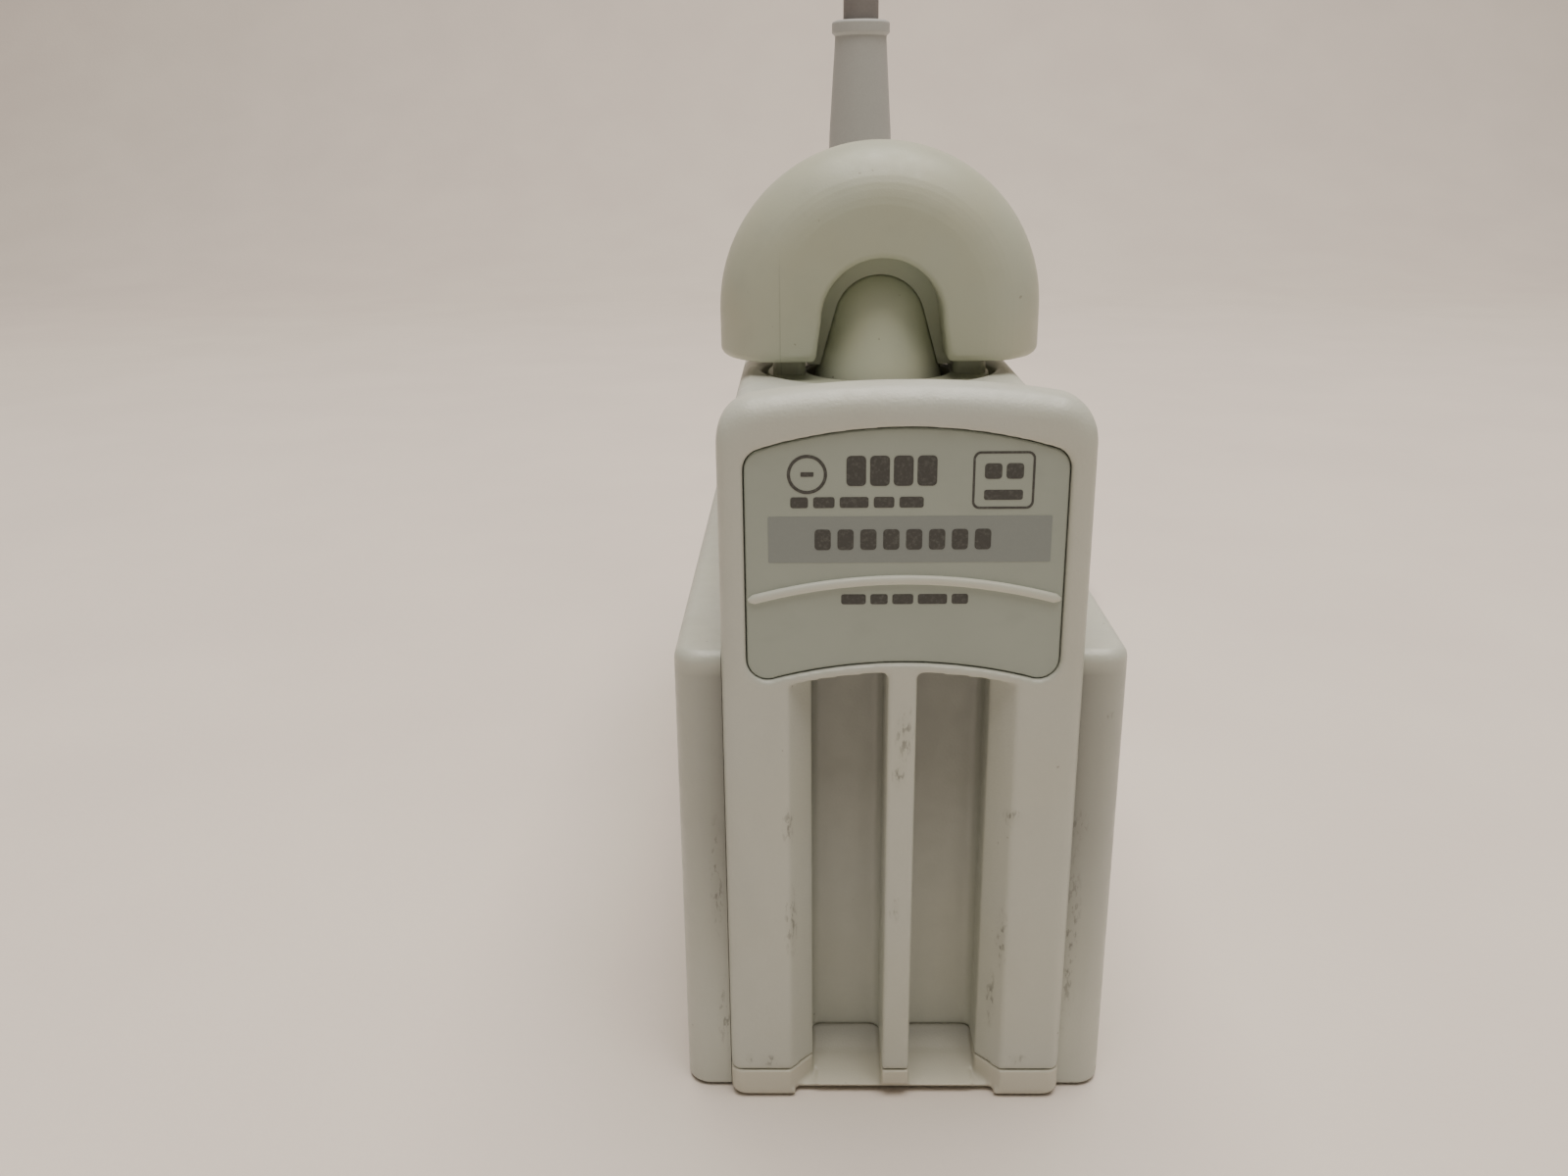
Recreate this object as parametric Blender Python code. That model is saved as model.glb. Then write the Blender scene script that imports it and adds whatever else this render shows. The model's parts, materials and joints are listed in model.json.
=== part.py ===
"""Turn-to-lock system connector of an ultrasound transducer, with its cable and scan head.

Everything is drawn in millimetres and turned into metres when an object is made.
+Z is up and the connector stands on Z = 0, X = 0 is its plane of symmetry, and its
narrow front face looks along -Y. The latch turns about a vertical axis.
"""

import math

import bmesh
import bpy
from mathutils import Matrix, Vector

MM = 0.001
GAP = 0.3  # between pieces that touch

# Housing
LENGTH = 150.0  # over the rail faces of both end caps
COLUMN_HALF = 20.35  # half-width of the end caps and of the grip shell
BODY_HALF = 26.0  # half-width of the wide lower shell
STEP_BACK = 2.2  # the lower shell stands this far behind the rail faces
BODY_TOP = 58.9
DECK = 82.0
DECK_ROUND = 2.35
RIM_TOP = 89.3
SEAM = 4.1  # top of the base, below the end caps
LIP_TOP = 1.2  # top of the base's lip between its toes
WALL = 2.2
FRONT = -LENGTH / 2

# End caps
CAP_UPPER_DEPTH = 6.2  # behind the label
CAP_LOWER_DEPTH = 12.0  # behind the rails
RIM_ARC = 113.0  # radius of the arched top
RIM_ROUND = 3.0
RIM_CORNER = 4.6
BACK_ROUND = 1.4  # along the rim's rear edge
SIDE_ROUND = 1.6
CHANNEL_DEPTH = 9.2
CHANNEL_CORNER = 1.2
RIB_HALF = 1.65
CHANNEL_EDGE = 10.2  # side wall of a channel
SLANT_EDGE = 13.0  # where a rail's slanted inner face meets its front
SLANT_DEPTH = 3.3
LABEL_HALF = 17.5
LABEL_ARC = 55.0  # radius of the arched edges of the label and of the channel tops
LABEL_TOP = 85.0
LABEL_BOTTOM = 58.3
LIP = 1.1  # thickness of the bar between the label and the channels
LABEL_RECESS = 2.0
RIDGE_TOP = 68.6
RIDGE_ARC = 62.0

# Latch
LATCH = (0.0, -15.0)
POCKET_R = 17.2
POCKET_FLOOR = 74.0
HANDLE_HALF = 23.0
HANDLE_TOP = 113.65
HANDLE_BOTTOM = 84.0
HANDLE_HALF_DEPTH = 11.0
HANDLE_ROUND = 9.5
ARCH_HALF = 8.5
ARCH_FLARE = 9.2
ARCH_CENTRE = 89.7
WEB_DEPTH = (-3.0, 10.6)  # of the wall that closes the arch round the hub, from the axis
WEB_BOTTOM = 82.6
HUB_TOP = 95.8
HUB_DOME_R = 7.0
HUB_SIDE = ((9.9, 76.2), (9.45, 80.0))  # radius and height, below the dome
SHAFT_R = 4.0
TURN_CLEARANCE = 0.3

# Base screws
SCREW_XY = (15.6, 67.0)
SCREW_R = 1.5
SCREW_HEAD_R = 2.8

FOUR_CORNERS = (("front_left", -1, -1), ("front_right", 1, -1), ("rear_left", -1, 1), ("rear_right", 1, 1))

# Contact carrier, which the latch lowers by CARRIER_TRAVEL
CARRIER_TRAVEL = 2.0
CARRIER_HALF = (17.8, 52.0)
BLOCK_Z = (9.5, 15.5)
PLATE_Z = (15.8, 18.3)
POST_Y = 42.0
CONNECTOR_Z = (22.0, 28.2)  # below the flexible circuits by more than the carrier's travel
CHASSIS_Z = (48.0, 50.0)

# Cable
CABLE_D = 6.6
CABLE_XY = (0.0, 58.0)
BOOT_TOP = 134.7
COIL_CENTRE = (14.0, 122.8)
COIL_RADII = (36.3, 42.9)
COIL_LAYERS = 3
COIL_LIFT = 1.2  # thickness of the tie below the coil
COIL_TOP = COIL_LIFT + COIL_LAYERS * CABLE_D

# From the boot up, over and down into the middle of the coil
LEAD_ROUTE = (
    (0.0, 58.0, 127.0),
    (0.0, 58.0, 136.0),
    (0.0, 58.1, 145.0),
    (0.1, 59.8, 155.0),
    (0.3, 64.6, 165.0),
    (0.7, 72.8, 173.0),
    (1.1, 83.5, 177.6),
    (1.6, 95.0, 177.6),
    (2.0, 105.8, 173.2),
    (2.3, 114.3, 165.0),
    (2.5, 119.6, 154.5),
    (2.6, 122.6, 142.5),
    (2.7, 124.4, 130.0),
    (2.9, 126.6, 117.5),
    (3.6, 129.6, 105.0),
    (5.4, 133.4, 92.5),
    (8.6, 137.6, 80.0),
    (13.2, 141.2, 68.0),
    (19.4, 143.2, 56.5),
    (26.4, 142.4, 45.5),
    (33.0, 138.2, 35.6),
    (38.0, 131.6, 27.8),
    (40.6, 123.6, 21.4),
    (40.4, 115.2, 16.0),
    (37.6, 107.3, 11.5),
    (32.4, 100.8, 8.2),
    (25.3, 96.2, 6.0),
    (17.2, 94.0, 4.9),
    (8.9, 94.3, 4.6),
)

# From the top of the coil, round and into the scan head
TAIL_ROUTE = (
    (35.4, 85.6, 24.6),
    (27.3, 82.0, 24.6),
    (17.0, 80.0, 24.7),
    (6.8, 81.0, 25.2),
    (-1.4, 84.9, 26.4),
    (-7.6, 91.0, 28.0),
    (-11.4, 97.4, 29.8),
    (-13.0, 104.9, 31.2),
    (-13.0, 116.4, 31.3),
)

# Scan head, lying on the coil
HEAD_X = -13.0
HEAD_Z = 31.3
HEAD_START = 110.0
# Y, half-width and half-height along the shell
HEAD_SECTIONS = (
    (121.5, 6.6, 6.6),
    (127.5, 8.6, 7.6),
    (135.5, 10.4, 8.8),
    (145.5, 11.2, 9.6),
    (153.5, 11.8, 9.8),
    (160.5, 13.2, 9.9),
    (166.5, 13.6, 9.2),
    (169.5, 13.0, 8.4),
)


# ---------------------------------------------------------------- shapes


def arc(cx, cy, radius, start, end, steps):
    """Points on an arc from one angle to another, in degrees."""
    angles = [math.radians(start + (end - start) * i / steps) for i in range(steps + 1)]
    return [(cx + radius * math.cos(a), cy + radius * math.sin(a)) for a in angles]


def rounded(corners, steps=4):
    """An outline from (x, y) corners, or (x, y, radius) ones, which are rounded."""
    outline = []
    for i, corner in enumerate(corners):
        here = Vector(corner[:2])
        if len(corner) == 2:
            outline.append(tuple(here))
            continue
        radius = corner[2]
        back = (Vector(corners[i - 1][:2]) - here).normalized()
        ahead = (Vector(corners[(i + 1) % len(corners)][:2]) - here).normalized()
        half = back.angle(ahead) / 2
        centre = here + (back + ahead).normalized() * radius / math.sin(half)
        start = here + back * radius / math.tan(half) - centre
        end = here + ahead * radius / math.tan(half) - centre
        turn = start.angle_signed(end)
        for k in range(steps + 1):
            spoke = start.copy()
            spoke.rotate(Matrix.Rotation(-turn * k / steps, 2))
            outline.append(tuple(centre + spoke))
    return outline


def bowed(x, top, radius):
    """Height of an arched edge at x, for its height in the middle."""
    return top - x * x / (2 * radius)


def prism(outline, axis, low, high):
    """An outline extruded along X, Y or Z. Its two numbers are the other two axes."""
    bm = bmesh.new()

    def placed(point, along):
        values = list(point)
        values.insert("XYZ".index(axis), along)
        return bm.verts.new(values)

    ends = [[placed(p, along) for p in outline] for along in (low, high)]
    close_loft(bm, ends)
    return bm


def loft(sections):
    """A solid through sections with the same number of points."""
    bm = bmesh.new()
    close_loft(bm, [[bm.verts.new(p) for p in section] for section in sections])
    return bm


def close_loft(bm, rings):
    for a, b in zip(rings, rings[1:]):
        for i in range(len(a)):
            j = (i + 1) % len(a)
            bm.faces.new((a[i], a[j], b[j], b[i]))
    bm.faces.new(rings[0])
    bm.faces.new(rings[-1])
    bmesh.ops.recalc_face_normals(bm, faces=bm.faces)


def box(x, y, z):
    """A box from three (low, high) pairs."""
    return prism([(x[0], y[0]), (x[1], y[0]), (x[1], y[1]), (x[0], y[1])], "Z", *z)


def turned(profile, centre=(0.0, 0.0), steps=32):
    """A closed (radius, z) profile turned about a vertical axis."""
    bm = bmesh.new()
    rings = []
    for radius, z in profile:
        if radius == 0:
            rings.append([bm.verts.new((*centre, z))] * steps)
            continue
        circle = arc(*centre, radius, 0, 360 - 360 / steps, steps - 1)
        rings.append([bm.verts.new((x, y, z)) for x, y in circle])
    for a, b in zip(rings, rings[1:] + rings[:1]):
        for i in range(steps):
            j = (i + 1) % steps
            corners = list(dict.fromkeys((a[i], a[j], b[j], b[i])))
            if len(corners) > 2:
                bm.faces.new(corners)
    bmesh.ops.recalc_face_normals(bm, faces=bm.faces)
    return bm


def rod(radius, low, high, centre=(0.0, 0.0), steps=24):
    return prism(arc(*centre, radius, 0, 360 - 360 / steps, steps - 1), "Z", low, high)


def softened(bm, width, steps=2):
    """Every sharp edge bevelled."""
    edges = [e for e in bm.edges if e.calc_face_angle(0) > 0.6]
    bmesh.ops.bevel(bm, geom=edges, offset=width, segments=steps, profile=0.5, affect="EDGES")
    return bm


# ---------------------------------------------------------------- objects


def clear_scene():
    for thing in list(bpy.data.objects):
        bpy.data.objects.remove(thing)


def material(name, colour, roughness, metallic=0.0):
    made = bpy.data.materials.new(name)
    made.use_nodes = True
    shader = made.node_tree.nodes["Principled BSDF"]
    shader.inputs["Base Color"].default_value = (*colour, 1.0)
    shader.inputs["Roughness"].default_value = roughness
    shader.inputs["Metallic"].default_value = metallic
    return made


def scratch(bm):
    mesh = bpy.data.meshes.new("scratch")
    bm.to_mesh(mesh)
    bm.free()
    thing = bpy.data.objects.new("scratch", mesh)
    bpy.context.collection.objects.link(thing)
    return thing


def carved(base, joins=(), cuts=()):
    """A mesh made of one solid, with others joined to it and then cut from it."""
    target = scratch(base)
    tools = []
    for operation, solids in (("UNION", joins), ("DIFFERENCE", cuts)):
        for bm in solids:
            tool = scratch(bm)
            tools.append(tool)
            step = target.modifiers.new(operation, "BOOLEAN")
            step.operation = operation
            step.solver = "EXACT"
            step.object = tool
    graph = bpy.context.evaluated_depsgraph_get()
    mesh = bpy.data.meshes.new_from_object(target.evaluated_get(graph))
    for thing in (target, *tools):
        bpy.data.objects.remove(thing)
    return mesh


def as_mesh(bm):
    mesh = bpy.data.meshes.new("solid")
    bm.to_mesh(mesh)
    bm.free()
    return mesh


def bmesh_of(mesh):
    bm = bmesh.new()
    bm.from_mesh(mesh)
    return bm


def place(name, mesh, finish, parent=None, turned_round=False):
    """An object for a mesh in millimetres, or for one that is already in metres."""
    if not mesh.get("in_metres"):
        mesh.transform(Matrix.Scale(MM, 4))
        mesh["in_metres"] = True
        mesh.materials.clear()
        mesh.materials.append(finish)
        mesh.shade_smooth()
        mesh.set_sharp_from_angle(angle=math.radians(32))
    thing = bpy.data.objects.new(name, mesh)
    bpy.context.collection.objects.link(thing)
    if turned_round:
        thing.rotation_euler = (0.0, 0.0, math.pi)
    if parent:
        thing.parent = parent
        thing.matrix_parent_inverse = Matrix.Translation(-parent.location)
    return thing


def pivot(name, at):
    """An empty on a joint's axis."""
    thing = bpy.data.objects.new(name, None)
    bpy.context.collection.objects.link(thing)
    thing.location = Vector(at) * MM
    return thing


# ---------------------------------------------------------------- end caps


def column_outline(side_inset, top_inset, bottom):
    """An end cap's outline in X and Z: straight sides and an arched top with round corners."""
    half = COLUMN_HALF - side_inset
    top = RIM_TOP - top_inset
    arch = [(x, bowed(x, top, RIM_ARC)) for x in (12.0, 6.0, 0.0, -6.0, -12.0)]
    shoulder = bowed(half, top, RIM_ARC)
    corners = [(-half, bottom), (half, bottom), (half, shoulder, RIM_CORNER), *arch]
    return rounded([*corners, (-half, shoulder, RIM_CORNER)], steps=5)


def inset(radius, depth):
    """How far a rounded edge stands in at a depth behind its face."""
    return radius - math.sqrt(radius**2 - (radius - depth) ** 2) if depth < radius else 0.0


def label_outline(shrink=0.0):
    half = LABEL_HALF - shrink
    low = [(x, bowed(x, LABEL_BOTTOM, LABEL_ARC) + shrink) for x in (-12.0, -6.0, 0.0, 6.0, 12.0)]
    high = [(x, bowed(x, LABEL_TOP, LABEL_ARC) - shrink) for x in (12.0, 6.0, 0.0, -6.0, -12.0)]
    foot = bowed(LABEL_HALF, LABEL_BOTTOM, LABEL_ARC) + shrink
    head = bowed(LABEL_HALF, LABEL_TOP, LABEL_ARC) - shrink
    corner = 2.4 - shrink
    lower = [(-half, foot, corner), *low, (half, foot, corner)]
    upper = [(half, head, corner), *high, (-half, head, corner)]
    return rounded([*lower, *upper])


def channel_cut(side, bottom):
    """A deep guide channel beside the rib. side is 1 on the right and -1 on the left."""
    back = FRONT + CHANNEL_DEPTH
    near, far = side * RIB_HALF, side * CHANNEL_EDGE
    mouth = [(near, FRONT - 1), (far, FRONT - 1)]
    plan = rounded([*mouth, (far, back, CHANNEL_CORNER), (near, back, CHANNEL_CORNER)], steps=3)
    return sloped_prism(plan, bottom, (RIB_HALF, CHANNEL_EDGE))


def slant_cut(side, bottom):
    """The wedge that slants a rail's inner edge."""
    slope = (SLANT_EDGE - CHANNEL_EDGE) / SLANT_DEPTH
    inner = CHANNEL_EDGE - 0.5
    plan = [
        (side * inner, FRONT - 1),
        (side * (SLANT_EDGE + slope), FRONT - 1),
        (side * inner, FRONT + SLANT_DEPTH + 0.5 / slope),
    ]
    return sloped_prism(plan, bottom, (CHANNEL_EDGE, SLANT_EDGE))


def sloped_prism(plan, bottom, span):
    """A prism whose flat top slopes outwards, along the chord of the arch over a span of X."""
    bm = prism(plan, "Z", bottom, LABEL_BOTTOM)
    inner, outer = (bowed(x, LABEL_BOTTOM - LIP, LABEL_ARC) for x in span)
    for v in bm.verts:
        if v.co.z > bottom + 1:
            v.co.z = inner + (outer - inner) * (abs(v.co.x) - span[0]) / (span[1] - span[0])
    return bm


def end_cap_mesh():
    """Column with an arched rim, a label recess, and two rails and a rib between channels."""
    foot = SEAM + GAP
    deep = CAP_UPPER_DEPTH
    sections = []
    for depth in (0.0, 0.25, 0.7, 1.3, 2.0, 3.0, deep - BACK_ROUND, deep - 0.4, deep):
        top_inset = inset(RIM_ROUND, depth) + inset(BACK_ROUND, deep - depth)
        outline = column_outline(inset(SIDE_ROUND, depth), top_inset, foot)
        sections.append([(x, FRONT + depth, z) for x, z in outline])
    back = box(
        (-COLUMN_HALF, COLUMN_HALF),
        (FRONT + 4.0, FRONT + CAP_LOWER_DEPTH),
        (foot, BODY_TOP - GAP),
    )
    cuts = [prism(label_outline(), "Y", FRONT - 1, FRONT + LABEL_RECESS)]
    cuts.append(box((-17.4, 17.4), (FRONT + 4.2, FRONT + 7.0), (61.5, 83.0)))
    for side in (-1, 1):
        cuts.append(channel_cut(side, foot - 1))
        cuts.append(slant_cut(side, foot - 1))
        hollow = sorted((side * 12.7, side * 18.2))
        cuts.append(box(hollow, (FRONT + 2.6, FRONT + CAP_LOWER_DEPTH + 1), (8.0, 53.5)))
        cuts.append(rod(SCREW_R + GAP, foot - 1, 9.0, (side * SCREW_XY[0], -SCREW_XY[1]), 16))
    return carved(loft(sections), [back], cuts)


def label_plate_mesh():
    """Panel with an arched ridge across it."""
    shrink = GAP
    half = LABEL_HALF - 0.6
    xs = [half * (i / 4 - 1) for i in range(9)]
    ridge = [(x, bowed(x, RIDGE_TOP, RIDGE_ARC)) for x in xs]
    ridge += [(x, bowed(x, RIDGE_TOP - 1.0, RIDGE_ARC)) for x in reversed(xs)]
    return carved(
        prism(label_outline(shrink), "Y", FRONT + 0.5, FRONT + LABEL_RECESS - GAP),
        [prism(ridge, "Y", FRONT + 0.05, FRONT + 1.0)],
    )


# ---------------------------------------------------------------- shells


def plan_outline(half, front, corner):
    """A rounded rectangle, the same at both ends."""
    near = [(-half, front, corner), (half, front, corner)]
    return rounded([*near, (half, -front, corner), (-half, -front, corner)])


def lower_shell_mesh():
    """Wide tray, open below and at both ends, with a level top around the grip shell."""
    front = FRONT + STEP_BACK
    sections = []
    foot = [(GAP, 1.2), (0.7, 0.5), (1.5, 0.0)]
    top_edge = [(57.3, 0.0), (58.2, 0.35), (58.7, 0.8), (BODY_TOP, 1.5)]
    for z, edge in foot + top_edge:
        outline = plan_outline(BODY_HALF - edge, front + edge, 3.6 - edge)
        sections.append([(x, y, z) for x, y in outline])
    inner = prism(plan_outline(BODY_HALF - WALL, front + WALL, 1.5), "Z", -1.0, BODY_TOP - WALL)
    door = COLUMN_HALF + GAP
    ends = []
    for side in (-1, 1):
        span = sorted((side * (FRONT + CAP_LOWER_DEPTH + GAP), side * (FRONT - 1)))
        ends.append(box((-door, door), span, (-1.0, BODY_TOP + 1)))
    top = box((-16.5, 16.5), (-58.0, 58.0), (BODY_TOP - WALL - 1, BODY_TOP + 1))
    return carved(loft(sections), cuts=[inner, *ends, top])


def grip_shell_mesh():
    """Upper housing: the deck, the latch's pocket and the cable's outlet."""
    low = BODY_TOP + GAP
    end = -FRONT - CAP_UPPER_DEPTH - GAP
    foot = [(-COLUMN_HALF, low), (COLUMN_HALF, low)]
    outline = rounded([*foot, (COLUMN_HALF, DECK, DECK_ROUND), (-COLUMN_HALF, DECK, DECK_ROUND)])
    inner = COLUMN_HALF - WALL
    roof = DECK - WALL
    hollow = [
        (-end + WALL, low - 1),
        (end - WALL, low - 1),
        (end - WALL, roof),
        (8.0, roof),
        (8.0, 71.0),
        (-38.0, 71.0),
        (-38.0, roof),
        (-end + WALL, roof),
    ]
    cuts = [
        prism(hollow, "X", -inner, inner),
        pocket_cut(),
        rod(6.6, 70.0, POCKET_FLOOR + 1, LATCH),
        rod(5.5, roof - 1, DECK + 1, CABLE_XY),
    ]
    return carved(prism(outline, "Y", -end, end), cuts=cuts)


def pocket_cut():
    """The round well under the latch, with a chamfered edge."""
    sections = []
    for radius, z in ((POCKET_R, POCKET_FLOOR), (POCKET_R, DECK - 0.8), (POCKET_R + 1.6, DECK + 0.8)):
        sections.append([(x, y, z) for x, y in arc(*LATCH, radius, 0, 351, 39)])
    return loft(sections)


def base_frame_mesh():
    """Frame round the mating opening, with the rails' and rib's toes at both ends."""
    sections = []
    for z, edge in ((0.0, 1.3), (0.4, 0.6), (1.2, 0.0), (SEAM, 0.0)):
        outline = plan_outline(COLUMN_HALF - edge, FRONT + edge, SIDE_ROUND)
        sections.append([(x, y, z) for x, y in outline])
    cuts = [
        box((-19.0, 19.0), (-54.0, 54.0), (-1.0, SEAM + 1)),
        box((-24.0, 24.0), (-61.5, 61.5), (-1.0, 1.0)),
    ]
    back = FRONT + CHANNEL_DEPTH
    ramp = [(FRONT - 1, SEAM + 1), (back, SEAM + 1), (back, SEAM - 0.3)]
    ramp += [(back - 3.0, 2.6), (back - 6.0, 1.7), (FRONT + 0.6, LIP_TOP), (FRONT - 1, LIP_TOP)]
    under = [(FRONT - 1, -1.0), (FRONT - 1, 2.2), (FRONT, 2.2), (FRONT + 3.2, -1.0)]
    for end in (1, -1):
        for side in (-1, 1):
            span = sorted((side * RIB_HALF, side * CHANNEL_EDGE))
            solids = [prism(ramp, "X", *span), slant_cut(side, LIP_TOP)]
            if side == 1:
                solids.append(prism(under, "X", -CHANNEL_EDGE - 0.6, CHANNEL_EDGE + 0.6))
            for bm in solids:
                if end == -1:
                    bmesh.ops.rotate(bm, matrix=Matrix.Rotation(math.pi, 3, "Z"), verts=bm.verts)
                cuts.append(bm)
            spot = (side * SCREW_XY[0], end * SCREW_XY[1])
            cuts.append(rod(SCREW_R + GAP, -1.0, SEAM + 1, spot, 16))
            cuts.append(rod(SCREW_HEAD_R + GAP, -1.0, 2.6, spot, 16))
    plate = prism(plan_outline(23.4, -70.2, 1.6), "Z", 1.0, SEAM)
    return carved(loft(sections), [plate], cuts)


# ---------------------------------------------------------------- fasteners and bushings

def screw_mesh():
    """A countersunk screw that comes up through the base, with a hexagon socket."""
    head = [(SCREW_HEAD_R, 0.9), (SCREW_HEAD_R, 2.3), (SCREW_R, 2.3), (SCREW_R, 12.0), (0, 12.8)]
    solid = turned([(0, 0.9), *head], steps=16)
    socket = prism(arc(0, 0, 1.3, 0, 300, 5), "Z", 0.0, 1.9)
    return carved(solid, cuts=[socket])


def ring_profile(inner, outer, low, high):
    return [(inner, low), (outer, low), (outer, high), (inner, high)]


# ---------------------------------------------------------------- latch


def handle_section(y):
    """The horseshoe's outline at a distance from its middle plane."""
    edge = inset(HANDLE_ROUND, HANDLE_HALF_DEPTH - abs(y))
    radius = HANDLE_HALF - edge
    centre = HANDLE_TOP - HANDLE_HALF
    lift = 0.9 * inset(1.2, HANDLE_HALF_DEPTH - abs(y)) / 1.2
    foot = HANDLE_BOTTOM + lift
    outer = [(radius - 0.9, foot), (radius, foot + 1.4)]
    outer += arc(0, centre, radius, 0, 180, 18)
    outer += [(-radius, foot + 1.4), (0.9 - radius, foot)]
    inner = [(-ARCH_FLARE, foot)]
    inner += arc(0, ARCH_CENTRE, ARCH_HALF, 180, 0, 12)
    inner += [(ARCH_FLARE, foot)]
    return [(x, LATCH[1] + y, z) for x, z in outer + inner]


def handle_mesh():
    """Horseshoe whose arch is closed round the hub, on two stubs and a skirt that sits in the pocket."""
    deep = HANDLE_HALF_DEPTH
    steps = (deep, deep - 0.5, deep - 1.5, deep - 3.2, deep - 5.5, deep - HANDLE_ROUND)
    ys = [-d for d in steps] + [d for d in reversed(steps)]
    joins = [
        turned([(10.6, 77.0), (16.8, 77.0), (16.8, 78.4), (16.2, 81.4), (10.6, 81.4)], LATCH, 40),
    ]
    grown = 0.6
    web = [(-ARCH_FLARE - grown, WEB_BOTTOM), (ARCH_FLARE + grown, WEB_BOTTOM)]
    web += arc(0, ARCH_CENTRE, ARCH_HALF + grown, 0, 180, 12)
    wall = prism(web, "Y", LATCH[1] + WEB_DEPTH[0], LATCH[1] + WEB_DEPTH[1])
    seat = turned([(0, HUB_SIDE[0][1]), *hub_outline(GAP)], LATCH, 40)
    joins.append(bmesh_of(carved(wall, cuts=[seat])))
    for side in (-1, 1):
        span = sorted((side * 10.7, side * 15.4))
        joins.append(box(span, (LATCH[1] - 5.0, LATCH[1] + 5.0), (78.0, HANDLE_BOTTOM + 1.5)))
    return carved(loft([handle_section(y) for y in ys]), joins)


def hub_outline(grown=0.0):
    """The hub's radii and heights from its foot to the top of its dome."""
    dome = arc(0, HUB_TOP - HUB_DOME_R, HUB_DOME_R + grown, 14.1, 90, 7)
    dome[-1] = (0, HUB_TOP + grown)
    return [(r + grown, z) for r, z in HUB_SIDE] + dome


def hub_mesh():
    """Domed, slightly conical centre boss, bored for the shaft."""
    bore = SHAFT_R + GAP
    foot = HUB_SIDE[0][1]
    return as_mesh(turned([(bore, foot), *hub_outline(), (0, 88.5), (bore, 88.5)], LATCH, 40))


def key_mesh():
    """Cross bar that engages the system's socket, with a round boss."""
    reach = 12.0
    half_width = 3.0
    outline = arc(reach - half_width, LATCH[1], half_width, -90, 90, 8)
    outline += arc(half_width - reach, LATCH[1], half_width, 90, 270, 8)
    return carved(prism(outline, "Z", 2.4, 6.0), [rod(5.2, 2.0, 6.0, LATCH)])


# ---------------------------------------------------------------- contact carrier


def carrier_slab_mesh(z):
    """A rounded slab with holes for the shaft and for the two guide posts."""
    half_x, half_y = CARRIER_HALF
    holes = [rod(SHAFT_R + 0.8, z[0] - 1, z[1] + 1, LATCH)]
    for end in (-1, 1):
        holes.append(rod(2.9, z[0] - 1, z[1] + 1, (0.0, end * POST_Y), 16))
    return carved(prism(plan_outline(half_x, -half_y, 2.0), "Z", *z), cuts=holes)


def flex_mesh(side):
    """Thin printed flex from the carrier up to a board's connector."""
    path = [(8.6, 18.6), (8.6, 30.6), (9.2, 31.2), (13.4, 31.2)]
    path += [(13.4, 30.7), (9.5, 30.7), (9.1, 30.3), (9.1, 18.6)]
    return as_mesh(prism([(side * x, z) for x, z in path], "Y", -49.0, -29.0))


# ---------------------------------------------------------------- cable


def smooth_points(route, spacing):
    """Points along a Catmull-Rom curve through a route, about spacing apart."""
    points = [Vector(p) for p in route]
    points = [2 * points[0] - points[1], *points, 2 * points[-1] - points[-2]]
    fine = []
    steps = 16
    for a, b, c, d in zip(points, points[1:], points[2:], points[3:]):
        slope = c - a
        bend = 2 * a - 5 * b + 4 * c - d
        twist = 3 * b - a - 3 * c + d
        for k in range(steps):
            t = k / steps
            fine.append(b + 0.5 * (slope * t + bend * t**2 + twist * t**3))
    fine.append(points[-2])
    along = [0.0]
    for a, b in zip(fine, fine[1:]):
        along.append(along[-1] + (b - a).length)
    count = max(2, round(along[-1] / spacing))
    even = []
    k = 0
    for i in range(count + 1):
        want = along[-1] * i / count
        while k < len(fine) - 2 and along[k + 1] < want:
            k += 1
        part = (want - along[k]) / (along[k + 1] - along[k])
        even.append(fine[k].lerp(fine[k + 1], part))
    return even


def tube(name, route, finish):
    """A round cord along a route."""
    points = smooth_points(route, 2.2 * CABLE_D)
    curve = bpy.data.curves.new(name, "CURVE")
    curve.dimensions = "3D"
    curve.bevel_depth = CABLE_D / 2 * MM
    curve.bevel_resolution = 2
    curve.use_fill_caps = True
    curve.render_resolution_u = 0
    spline = curve.splines.new("POLY")
    spline.points.add(len(points) - 1)
    for spot, point in zip(spline.points, points):
        spot.co = (*(point * MM), 1.0)
    curve.materials.append(finish)
    thing = bpy.data.objects.new(name, curve)
    bpy.context.collection.objects.link(thing)
    return thing


def tie_mesh():
    """A strap round the coil's bundle of turns, at its rear."""
    inner = COIL_RADII[0] - CABLE_D / 2 - 3 * GAP
    outer = COIL_RADII[-1] + CABLE_D / 2 + GAP
    low, high = COIL_LIFT - GAP, COIL_TOP + GAP
    thick = 0.8
    width = 4.0
    cx, cy = COIL_CENTRE

    def section(grown, corner):
        near, far = cy + inner - grown, cy + outer + grown
        bottom, top = low - grown, high + grown
        foot = [(near, bottom, corner), (far, bottom, corner)]
        return rounded([*foot, (far, top, corner), (near, top, corner)], steps=3)

    band = prism(section(thick, 1.6), "X", cx - width, cx + width)
    return carved(band, cuts=[prism(section(0.0, 0.8), "X", cx - width - 1, cx + width + 1)])


# ---------------------------------------------------------------- scan head


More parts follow.
